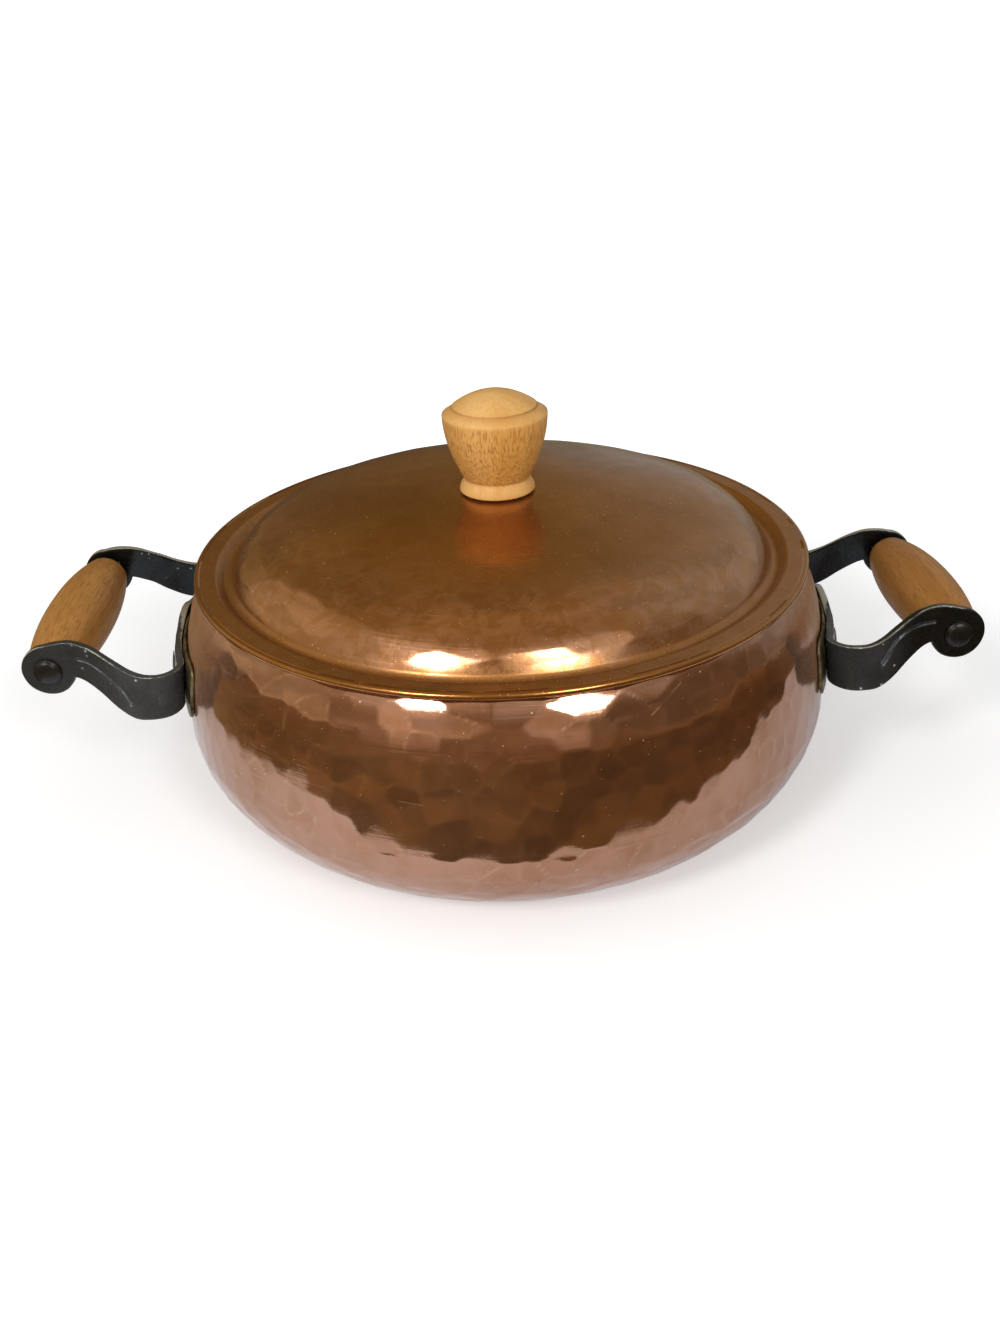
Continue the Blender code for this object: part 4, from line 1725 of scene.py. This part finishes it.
    def arm_and_eye(
        self, level: Array, inward: Array, depth: Array, start_x: Array, start_y: Array
    ) -> Array:
        """Draw the arm from its corner out, and the eye, for every point of the section.

        Args:
            level: Level of each section point.
            inward: Distance in from the edge of each section point.
            depth: Depth from the outside face of each section point.
            start_x: Where the arm starts, along X.
            start_y: The outside face's Y there.

        Returns:
            Points, section by station by 3, with Y positive.
        """
        walk = np.linspace(0.0, 1.0, 135)[None, 1:]
        arm_end = self.reach - self.crest_setback
        first_x = float(start_x[0, 0])
        last_x = float(start_x[self.outer_points - 1, 0])
        radius = self.eye_radius

        rise_bottom = first_x + self.rise_delay_bottom
        notch_z = -self.notch_depth
        for _ in range(4):
            notch_x = self.reach - math.sqrt(radius**2 - notch_z**2)
            share = (notch_x - rise_bottom) / (arm_end - rise_bottom)
            notch_z = float(mix(self.strap_bottom, -self.notch_depth, ease(share)))
        bottom_x = mix(first_x, notch_x, walk)
        share = (bottom_x - rise_bottom) / (arm_end - rise_bottom)
        bottom_z = mix(self.strap_bottom, -self.notch_depth, ease(share)) + inward

        rise_top = last_x + self.rise_delay_top
        crest_reach = self.crest_setback + radius
        top_x = mix(last_x, self.reach, walk)
        share = (top_x - rise_top) / (arm_end - rise_top)
        past = np.clip((top_x - arm_end) / crest_reach, 0.0, 1.0)
        top_z = mix(self.strap_top, self.crest_height, ease(share)) * np.sqrt(1.0 - past**2)
        top_z = top_z - inward

        round_steps = np.linspace(0.0, 1.0, 54)[None, 1:]
        notch_angle = math.pi + math.asin(-notch_z / radius)
        lower = mix(notch_angle, 2.0 * math.pi, round_steps)
        upper = 0.5 * math.pi * (1.0 - round_steps)
        crown = self.crest_height * math.sqrt(1.0 - (self.crest_setback / crest_reach) ** 2)
        swollen = radius + (crown - radius) * np.sin(upper) ** 6
        bottom_x, bottom_z = self.round_eye(bottom_x, bottom_z, radius - inward, lower)
        top_x, top_z = self.round_eye(top_x, top_z, swollen - inward, upper)
        x = mix(bottom_x, top_x, level)
        z = mix(bottom_z, top_z, level)
        curve = start_x - mix(first_x, last_x, level)
        x[:, : walk.shape[1]] += curve * (1.0 - walk) ** 2

        step = self.step
        y = self.arm_y(x, start_x, start_y, level)
        ahead = self.arm_y(x + step, start_x, start_y, level)
        behind = self.arm_y(x - step, start_x, start_y, level)
        slope = (ahead - behind) / (2.0 * step)
        size = np.sqrt(1.0 + slope**2)
        outer = depth < 0.5 * self.strap_edge
        sunk = depth + np.where(outer, self.crease(x - self.reach, z), 0.0)
        return np.stack((x + sunk * slope / size, y - sunk / size, z), axis=-1)

    def round_eye(self, x: Array, z: Array, radius: Array, angle: Array) -> tuple[Array, Array]:
        """Lengthen an edge line of the arm by its arc round the eye.

        Args:
            x: X of the line's points.
            z: Z of the line's points, for every point of the section.
            radius: Radius of the arc.
            angle: Angle of each point of the arc.

        Returns:
            X and Z of the longer line.
        """
        arc_x = self.reach + radius * np.cos(angle)
        arc_z = radius * np.sin(angle)
        x = np.broadcast_to(x, z.shape)
        return np.concatenate((x, arc_x), axis=1), np.concatenate((z, arc_z), axis=1)

    def arm_y(self, x: Array, start_x: Array, start_y: Array, level: Array) -> Array:
        """Work out Y of the arm's outside face: it eases from the corner's to the eye's.

        Args:
            x: Distance from the pot's axis.
            start_x: Where the arm starts.
            start_y: The outside face's Y there.
            level: Level of each section point.

        Returns:
            Y of each point.
        """
        arm_end = self.reach - self.crest_setback
        end_y = self.eye_middle + 0.5 * self.strap + self.arm_lean * (1.0 - 2.0 * level)
        settled = ease((x - arm_end) / self.eye_radius)
        end_y = mix(end_y, self.eye_middle + 0.5 * self.strap, settled)
        return mix(start_y, end_y, ease((x - start_x) / (arm_end - start_x)))

    def crease(self, x: Array, z: Array) -> Array:
        """Work out the depth of the chased crease that runs down the arm.

        It is deepest on a smooth line along the crease's path, falls off as a bell to either
        side, and widens to a V at its lower end.

        Args:
            x: X from the rod.
            z: Z from the rod.

        Returns:
            The depth at each point.
        """
        dense, _ = resample(np.array(self.crease_path), 60)
        dense = soften(dense, CORNER)
        best = np.full(np.broadcast(x, z).shape, 1.0)
        place = np.zeros_like(best)
        for index, (path_x, path_z) in enumerate(dense):
            away = np.hypot(x - path_x, z - path_z)
            nearer = away < best
            best = np.where(nearer, away, best)
            place = np.where(nearer, index / (len(dense) - 1), place)
        width = self.crease_half_width * (0.8 + 0.9 * ease((place - 0.5) / 0.5))
        depth = self.crease_depth * (0.60 + 0.80 * ease((place - 0.4) / 0.5))
        return depth * bell(best, width)

    def forged(self, points: Array) -> Array:
        """Give the strap its forged unevenness, which dies away at its two ends.

        Each wave is a sine along a random direction, and all of them press along the normals.

        Args:
            points: Points of the strap, section by station by 3.

        Returns:
            The moved points.
        """
        rng = np.random.default_rng(self.seed)
        waves = np.zeros(points.shape[:2])
        for _ in range(self.wave_count):
            pitch = rng.normal(0.0, 1.0, 3)
            pitch *= rng.uniform(*self.wave_turns) / np.linalg.norm(pitch)
            waves += np.sin(points @ pitch + rng.uniform(0.0, 2.0 * np.pi))
        across = np.roll(points, -1, axis=0) - np.roll(points, 1, axis=0)
        normal = np.cross(np.gradient(points, axis=1), across)
        normal /= np.maximum(np.linalg.norm(normal, axis=-1, keepdims=True), TINY)
        station = np.arange(points.shape[1])
        calm = ease(np.minimum(station, station[::-1]) / self.wave_fade)[None, :, None]
        return points + normal * (self.wave_depth * waves)[..., None] * calm

    def strap_wear(self, points: Array) -> Marks:
        """Work out where the strap is painted pale and where it is painted dark.

        Its top edge is paler, most at the middle of the back and on the far arm, as wear and as
        painted highlight. The far arm and the eyes are darkened as painted shade, more on the right
        handle.

        Args:
            points: Points of the strap in the handle's frame.

        Returns:
            The marks by name.
        """
        level, inward, depth = self.section()
        upper = level > 0.5
        arris = bell(depth - 0.25 * self.strap_edge, self.arris_width)
        on_top = arris * bell(inward, self.edge_width) * upper
        top_face = bell(inward, self.face_width) * upper
        middle = bell(points[..., 1], self.middle_width)
        far_reach = points[..., 1] * self.backward
        far = far_reach > self.shade_start
        # Pale top edges: wear, and painted highlight.
        worn_and_sheen = 0.62 * on_top + (0.05 + 0.70 * middle + 0.78 * far) * top_face
        worn_and_sheen = worn_and_sheen + 0.06 * bell(inward, self.arris_width)
        # Painted shade on the far arm and round the eyes.
        painted_shade = ease((far_reach - self.shade_start) / self.shade_rise)
        at_eye = ease((points[..., 0] - self.reach + self.eye_shade_start) / self.eye_shade_rise)
        return {"worn_and_sheen": worn_and_sheen, "painted_shade": np.maximum(painted_shade, self.eye_shade * at_eye)}

    def strap_piece(self) -> bpy.types.Object:
        """Make the whole strap from its two halves.

        Returns:
            The new piece.
        """
        halves = (self.half_strap(-1.0)[:, :0:-1], self.half_strap(1.0))
        points = self.forged(np.concatenate(halves, axis=1))
        name = f"{self.side}_forged_strap"
        return grid_piece(name, placed(points, self.place), True, False, self.strap_wear(points))

    def plate_piece(self) -> bpy.types.Object:
        """Make the mount plate: a sheet with rounded corners, bent to the pot's wall.

        Returns:
            The new piece.
        """
        top = self.strap_top + self.plate_top_margin
        bottom = self.strap_bottom - self.plate_bottom_margin
        half_height = 0.5 * (top - bottom)
        y = self.plate_half_length * np.sin(np.linspace(-0.5 * np.pi, 0.5 * np.pi, 150))[None, :]
        past = np.maximum(np.abs(y) - (self.plate_half_length - self.plate_corner), 0.0)
        cut = self.plate_corner - np.sqrt(np.maximum(self.plate_corner**2 - past**2, 0.0))
        rise = np.linspace(-1.0, 1.0, 26)
        faces = np.concatenate((rise, rise[::-1]))[:, None]
        ragged = self.plate_wave * np.sin(y * 900.0) + self.plate_wave * np.sin(y * 410.0 + 1.3)
        z = 0.5 * (top + bottom) + faces * (half_height - cut) - ragged * (faces < 0.0) * faces
        inset = np.minimum(1.0 - np.abs(faces), self.plate_round) / self.plate_round
        core = GAP + 0.5 * self.plate
        depth = np.repeat([GAP + self.plate, GAP], len(rise))[:, None]
        depth = mix(core, depth, 0.55 + 0.45 * ease(inset)) + 0.0 * y
        depth[:, [0, -1]] = core
        points = np.stack((self.seat_x(y, z, depth), y + 0.0 * z, z), axis=-1)
        return grid_piece(f"{self.side}_brass_plate", placed(points, self.place), True, False)

    def rivet_place(self, y: float) -> Matrix:
        """Find a rivet's place in the world: its origin on the wall's outside, its Z outward.

        Args:
            y: Distance of the rivet along the rod.

        Returns:
            The place.
        """
        step = 5.0 * self.step
        z = 0.5 * (self.strap_top + self.strap_bottom)
        slope_y = (self.seat_x(y + step, z, 0.0) - self.seat_x(y - step, z, 0.0)) / (2.0 * step)
        slope_z = (self.seat_x(y, z + step, 0.0) - self.seat_x(y, z - step, 0.0)) / (2.0 * step)
        outward = Vector((1.0, -float(slope_y), -float(slope_z)))
        turn = outward.to_track_quat("Z", "Y").to_matrix().to_4x4()
        seat = Matrix.Translation((float(self.seat_x(y, z, 0.0)), y, z))
        return self.place @ seat @ turn

    def rivet_line(self) -> Array:
        """Draw a rivet from its low outer head down to its domed head inside the pot.

        Returns:
            The outline's (radius, height) points.
        """
        outer = GAP + self.plate + GAP + self.strap
        inner = -self.sizes.wall - GAP - self.rivet_seat_play
        turn = np.linspace(0.0, 0.5 * np.pi, 12)
        height = outer + self.rivet_outer_head_height * np.cos(turn)
        outer_head = pair(self.rivet_outer_head_radius * np.sin(turn), height)
        height = inner - self.rivet_head_height * np.sin(turn)
        inner_head = pair(self.rivet_head_radius * np.cos(turn), height)
        shank = np.array([(self.rivet_radius, outer), (self.rivet_radius, inner)])
        return np.concatenate((outer_head, shank, inner_head))

    def rod_line(self) -> tuple[Array, Array]:
        """Draw the rod, with a button head outside each eye.

        A head has a low crown, a fine ring cut round it, and a rounded rim.

        Returns:
            The outline's (radius, height) points, and their mark of pale wear and painted
            highlight.
        """
        seat = self.eye_middle + 0.5 * self.strap + 0.0001
        end = self.eye_middle + 0.5 * self.eye_thickness + GAP + self.rod_head_height
        share = np.linspace(0.0, 1.0, 14)
        inner = self.rod_head_top_radius - self.rod_ring
        crown = pair(inner * share, end - self.rod_head_sag * share**2)
        ring = np.array([(inner + 0.0002, end - 0.0008), (inner + 0.0005, end - 0.0007)])
        turn = np.linspace(0.25 * np.pi, 0.5 * np.pi, 6)
        rim_foot = seat + 0.0002
        drop = end - 0.0006 - rim_foot
        height = rim_foot + drop * np.cos(turn) ** 0.8
        rim = pair(self.rod_head_radius * np.sin(turn) ** 0.4, height)
        skirt = np.array([(self.rod_head_radius, seat), (self.rod_radius, seat)])
        half = np.concatenate((crown, ring, rim, skirt))
        other = half[::-1] * np.array((1.0, -1.0))
        # The rim is painted pale, as wear and painted highlight.
        marks = np.zeros(len(half))
        first = len(crown) + len(ring) + 1
        marks[first : first + 3] = 0.30
        return np.concatenate((half, other)), np.concatenate((marks, marks[::-1]))

    def grip_line(self) -> tuple[Array, Marks]:
        """Draw the barrel grip, whose outline closes up its bore.

        The barrel narrows from its middle as the share of its half length to a power.

        Returns:
            The outline's (radius, height) points, and its marks of soil and pores by name.
        """
        half = 0.5 * self.grip_length
        share = np.linspace(1.0, -1.0, 120)
        swell = 1.0 - np.abs(share) ** self.grip_power
        across = mix(self.grip_end_radius, self.grip_radius, swell)
        barrel = pair(across, (half - self.grip_chamfer) * share)
        bore = self.rod_radius + GAP
        edge = self.grip_end_radius - self.grip_chamfer
        first = np.array([(bore, half), (edge, half)])
        last = np.array([(edge, -half), (bore, -half)])
        line = np.concatenate((first, barrel, last))
        near_end = (np.abs(line[:, 1]) - (half - self.grip_soil)) / self.grip_soil
        soiled = np.clip(near_end, 0.0, 1.0) * 0.6
        return line, {"soiled": soiled, "pores": np.ones(len(line))}

    def dress(self) -> None:
        """Build the handle's pieces and put them on their bodies."""
        side = self.side
        finish_piece(self.strap_piece(), self.strap_iron, "pot", "iron", f"{side}_bracket")
        plate_node = f"{side}_mount_plate"
        finish_piece(self.plate_piece(), PLATE_BRASS, "pot", "plate_brass", plate_node)
        rivets = (-self.rivet_spacing, 0.0, self.rivet_spacing)
        for number, y in enumerate(rivets, start=1):
            name = f"{side}_domed_rivet_{number}"
            rivet = turned_piece(name, self.rivet_line(), 48, False, self.rivet_place(y))
            finish_piece(rivet, BLACK_IRON, "pot", "iron", f"{side}_rivet_{number}")
        along_rod = Matrix.Rotation(-0.5 * math.pi, 4, "X")
        rod_place = self.place @ Matrix.Translation((self.reach, 0.0, 0.0)) @ along_rod
        line, worn_and_sheen = self.rod_line()
        rod = turned_piece(f"{side}_headed_rod", line, 72, False, rod_place, {"worn_and_sheen": worn_and_sheen})
        finish_piece(rod, self.rod_iron, "pot", "iron", f"{side}_grip_rod")
        slide = Matrix.Translation((0.0, -0.5 * self.grip_end_play * self.backward, 0.0))
        line, marks = self.grip_line()
        grip_place = self.place @ slide @ self.place.inverted() @ rod_place
        grip = turned_piece(f"{side}_barrel_grip", line, 144, True, grip_place, marks)
        finish_piece(grip, self.wood, f"{side}_grip_turning", "brown_wood", f"{side}_grip")


LEFT_HANDLE = Handle(
    Hand.LEFT,
    stand_off=0.0389,
    drop=0.0211,
    tilt=0.0,
    crease_path=(
        (-0.0109, 0.00415),
        (-0.0143, 0.0035),
        (-0.0186, 0.0008),
        (-0.0228, -0.0028),
        (-0.0259, -0.0058),
        (-0.0284, -0.0101),
    ),
    seed=21,
    strap_iron=LIT_LEFT_IRON,
    rod_iron=ROD_IRON,
    wood=GRIP_WOOD,
    eye_shade=0.45,
)
RIGHT_HANDLE = Handle(
    Hand.RIGHT,
    stand_off=0.0379,
    drop=0.0247,
    tilt=math.radians(-4.0),
    crease_path=(
        (-0.0086, 0.00475),
        (-0.0123, 0.0045),
        (-0.0172, 0.0033),
        (-0.0210, 0.0015),
        (-0.0242, -0.0015),
        (-0.0262, -0.0053),
        (-0.0275, -0.0070),
    ),
    seed=34,
    strap_iron=BLACK_IRON,
    rod_iron=SHADED_ROD_IRON,
    wood=SHADED_GRIP_WOOD,
    eye_shade=0.95,
)


# The studio


def heading_vector(heading: float, height: float) -> Vector:
    """Work out a unit vector.

    Args:
        heading: Its heading from +Y towards +X, in degrees.
        height: Its angle above the level, in degrees.

    Returns:
        The vector.
    """
    around = math.radians(heading)
    upward = math.radians(height)
    level = math.cos(upward)
    return Vector((math.sin(around) * level, math.cos(around) * level, math.sin(upward)))


@dataclass(frozen=True)
class Lamp:
    """A round soft lamp, by its heading from the back, its height angle, distance and power."""

    name: str
    heading: float
    height: float
    distance: float
    width: float
    power: float

    def build(self) -> None:
        """Hang the lamp so that it points at the pot."""
        light = bpy.data.lights.new(self.name, "AREA")
        light.shape = "DISK"
        light.size = self.width
        light.energy = self.power
        lamp = add_object(self.name, light)
        towards = heading_vector(self.heading, self.height)
        lamp.location = towards * self.distance
        lamp.rotation_euler = towards.to_track_quat("Z", "Y").to_euler()


@dataclass(frozen=True)
class Glow:
    """A soft patch of the room: its heading and height angle, its two widths and its colour."""

    heading: float
    height: float
    inner: float
    outer: float
    colour: Colour


@dataclass(frozen=True)
class Studio:
    """The camera, the pale floor, the lamps and the room round the pot."""

    camera_place: Triple = (-0.0019, -0.41428, 0.27225)
    camera_pitch: float = 29.05
    camera_roll: float = -2.48
    sensor: float = 36.0
    floor_size: float = 60.0
    floor_drop: float = 0.00005
    floor_colour: Colour = (0.80, 0.80, 0.80)
    white: Colour = (1.0, 1.0, 1.0)
    sheet_left: Colour = (0.57, 0.66, 0.80)
    sheet_right: Colour = (0.165, 0.20, 0.32)
    card_left: Colour = (0.28, 0.175, 0.050)
    card_right: Colour = (0.135, 0.066, 0.006)
    card_far: Colour = (0.34, 0.205, 0.075)
    card_back: Colour = (0.30, 0.28, 0.20)
    card_back_left: Colour = (0.13, 0.085, 0.045)
    card_dim: float = 0.50
    card_lift: float = 0.0004
    card_growth: float = 110.0
    card_edge: Outline = (
        (-0.225, 0.10),
        (-0.225, -0.02),
        (-0.215, -0.135),
        (-0.13, -0.158),
        (0.0, -0.164),
        (0.09, -0.158),
        (0.16, -0.135),
        (0.265, -0.075),
        (0.330, 0.06),
        (0.335, 0.17),
        (0.28, 0.24),
        (0.0, 0.27),
        (-0.20, 0.24),
    )
    room_dim: float = 0.80
    room: Colour = (0.29, 0.20, 0.065)
    glows: tuple[Glow, ...] = (
        Glow(20.0, 90.0, 15.0, 45.0, (0.46, 0.32, 0.13)),
        Glow(60.0, 20.0, 15.0, 57.0, (0.45, 0.46, 0.46)),
        Glow(14.0, 0.0, 4.0, 20.0, (0.40, 0.42, 0.44)),
        Glow(-14.0, 7.0, 6.0, 24.0, (0.23, 0.15, 0.062)),
        Glow(180.0, 0.0, 40.0, 95.0, (0.38, 0.25, 0.12)),
        Glow(-150.0, 16.0, 2.0, 20.0, (0.95, 0.78, 0.62)),
        Glow(158.0, 14.0, 2.0, 18.0, (0.90, 0.74, 0.60)),
        Glow(-85.0, 15.0, 12.0, 48.0, (0.66, 0.55, 0.36)),
        Glow(118.0, 0.0, 20.0, 46.0, (0.20, 0.13, 0.06)),
        Glow(-140.0, 40.0, 10.0, 28.0, (0.90, 0.78, 0.66)),
        Glow(152.0, 42.0, 10.0, 30.0, (0.85, 0.80, 0.75)),
    )
    fill_heading: tuple[float, float] = (-140.0, 35.0)
    fill_low: Colour = (0.10, 0.10, 0.10)
    fill_high: Colour = (0.70, 0.70, 0.70)
    lamps: tuple[Lamp, ...] = (
        Lamp("left_lamp", -149.5, 38.0, 1.3, 0.26, 5.8),
        Lamp("right_lamp", 157.0, 33.5, 1.3, 0.32, 5.0),
    )

    def add_camera(self) -> None:
        """Put the camera where the photograph was taken from."""
        pitch = math.radians(self.camera_pitch)
        roll = math.radians(self.camera_roll)
        forward = Vector((0.0, math.cos(pitch), -math.sin(pitch)))
        level_right = Vector((1.0, 0.0, 0.0))
        level_up = level_right.cross(forward)
        right = level_right * math.cos(roll) + level_up * math.sin(roll)
        upward = level_up * math.cos(roll) - level_right * math.sin(roll)
        turn = Matrix((right, upward, -forward)).transposed().to_4x4()
        data = bpy.data.cameras.new("camera")
        data.sensor_fit = "VERTICAL"
        data.sensor_height = self.sensor
        data.lens = FOCAL_PIXELS / IMAGE_SIZE[1] * self.sensor
        data.clip_start = 0.01
        camera = add_object("camera", data)
        camera.matrix_world = Matrix.Translation(self.camera_place) @ turn
        bpy.context.scene.camera = camera

    def add_floor(self) -> None:
        """Lay the pale floor: white to the eye and to gloss, and it keeps the pot's shadow.

        To gloss it has the sheet's tone, which dims towards the pot's foot.
        """
        half = 0.5 * self.floor_size
        corners = [(-half, -half), (half, -half), (half, half), (-half, half)]
        mesh = bpy.data.meshes.new("floor")
        mesh.from_pydata([(x, y, -self.floor_drop) for x, y in corners], [], [(0, 1, 2, 3)])
        floor = add_object("floor", mesh)
        graph = Surface("pale_floor")
        graph.shade(Base_Color=self.floor_colour, Roughness=0.9)
        mirrored = graph.mirrored()
        seen = graph.math("MAXIMUM", graph.ray("Camera"), mirrored)
        across = graph.band(graph.axis("X"), -0.15, 0.14)
        sheet = graph.blend(across, self.sheet_left, self.sheet_right)
        behind = graph.band(graph.axis("Y"), 0.0, 0.12)
        sheet = graph.blend(behind, sheet, self.back_tone(graph))
        lift = graph.band(graph.vector("LENGTH", graph.coordinates), 0.16, 0.60, (0.32, 1.0))
        tone = graph.blend(mirrored, self.white, sheet)
        glow = graph.glow(tone, graph.times(seen, lift))
        both = graph.fill(graph.add("ShaderNodeAddShader"), graph.shader.outputs[0], glow)
        graph.end(both.outputs[0])
        mesh.materials.append(graph.material)

    def back_tone(self, graph: Graph) -> Socket:
        """The ground's tone behind the pot, darker on the left."""
        share = graph.band(graph.axis("X"), -0.15, 0.10)
        return graph.blend(share, self.card_back_left, self.card_back)

    def add_card(self) -> None:
        """Lay a brown card round the white sheet that the pot stands on, seen by gloss alone.

        Its inner edge follows the sheet's edges, and its outer edge is the inner one moved out
        from the middle by a large factor.
        """
        inner = np.array(self.card_edge)
        flat = np.concatenate((inner, inner * self.card_growth))
        points = np.concatenate((flat, np.full((len(flat), 1), self.card_lift)), axis=1)
        mesh = bpy.data.meshes.new("brown_card")
        mesh.from_pydata(points, [], grid_faces(2, len(inner), False, True))
        card = add_object("brown_card", mesh)
        graph = Surface("card_brown")
        across = graph.band(graph.axis("X"), -0.20, 0.30)
        tone = graph.blend(across, self.card_left, self.card_right)
        away = graph.band(graph.vector("LENGTH", graph.coordinates), 0.25, 1.6)
        tone = graph.blend(away, tone, self.card_far)
        behind = graph.band(graph.axis("Y"), 0.0, 0.35)
        tone = graph.blend(behind, tone, self.back_tone(graph))
        uneven = graph.band(graph.noise(14.0, 3.0, 0.6), 0.35, 0.65, (self.card_dim, 1.3))
        graph.end(graph.glow(tone, uneven))
        mesh.materials.append(graph.material)
        card.visible_camera = False
        card.visible_diffuse = False
        card.visible_shadow = False

    def add_room(self) -> None:
        """Fill the world: white to the eye, a soft fill for matt surfaces, a room for gloss.

        Each glow blends the room's colour towards its own by the angle from the glow's middle,
        soft patches make the room uneven, and the fill grows from low to high towards its heading.
        """
        world = bpy.data.worlds.new("studio_world")
        bpy.context.scene.world = world
        world.use_nodes = True
        graph = Graph(world.node_tree, "Generated")
        room = self.room
        for glow in self.glows:
            towards = tuple(heading_vector(glow.heading, glow.height))
            facing = graph.vector("DOT_PRODUCT", graph.coordinates, towards)
            low = math.cos(math.radians(glow.outer))
            high = math.cos(math.radians(glow.inner))
            room = graph.blend(graph.band(facing, low, high), room, glow.colour)
        patches = graph.noise(4.5, 2.0, 0.5)
        patches = graph.band(patches, 0.36, 0.64, (self.room_dim, 2.0 - self.room_dim))
        room = graph.vector("SCALE", room, Scale=patches)
        towards = tuple(heading_vector(*self.fill_heading))
        lit = graph.band(graph.vector("DOT_PRODUCT", graph.coordinates, towards), -0.7, 0.9)
        fill = graph.blend(lit, self.fill_low, self.fill_high)
        colour = graph.blend(graph.mirrored(), fill, room)
        colour = graph.blend(graph.ray("Camera"), colour, self.white)
        graph.fill(world.node_tree.nodes["Background"], Color=colour)

    def build(self) -> None:
        """Set the studio up round the pot."""
        bpy.context.scene.view_settings.view_transform = "Standard"
        self.add_camera()
        self.add_floor()
        self.add_card()
        self.add_room()
        for lamp in self.lamps:
            lamp.build()


def main() -> None:
    """Build the pot, its lid, its handles and the studio."""
    logging.basicConfig(level=logging.INFO, format="%(name)s: %(message)s")
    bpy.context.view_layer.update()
    Studio().build()
    HammeredPot().dress()
    lid = CopperLid()
    lid.dress()
    Knob(lid).dress()
    LEFT_HANDLE.dress()
    RIGHT_HANDLE.dress()


if __name__ == "__main__":
    main()
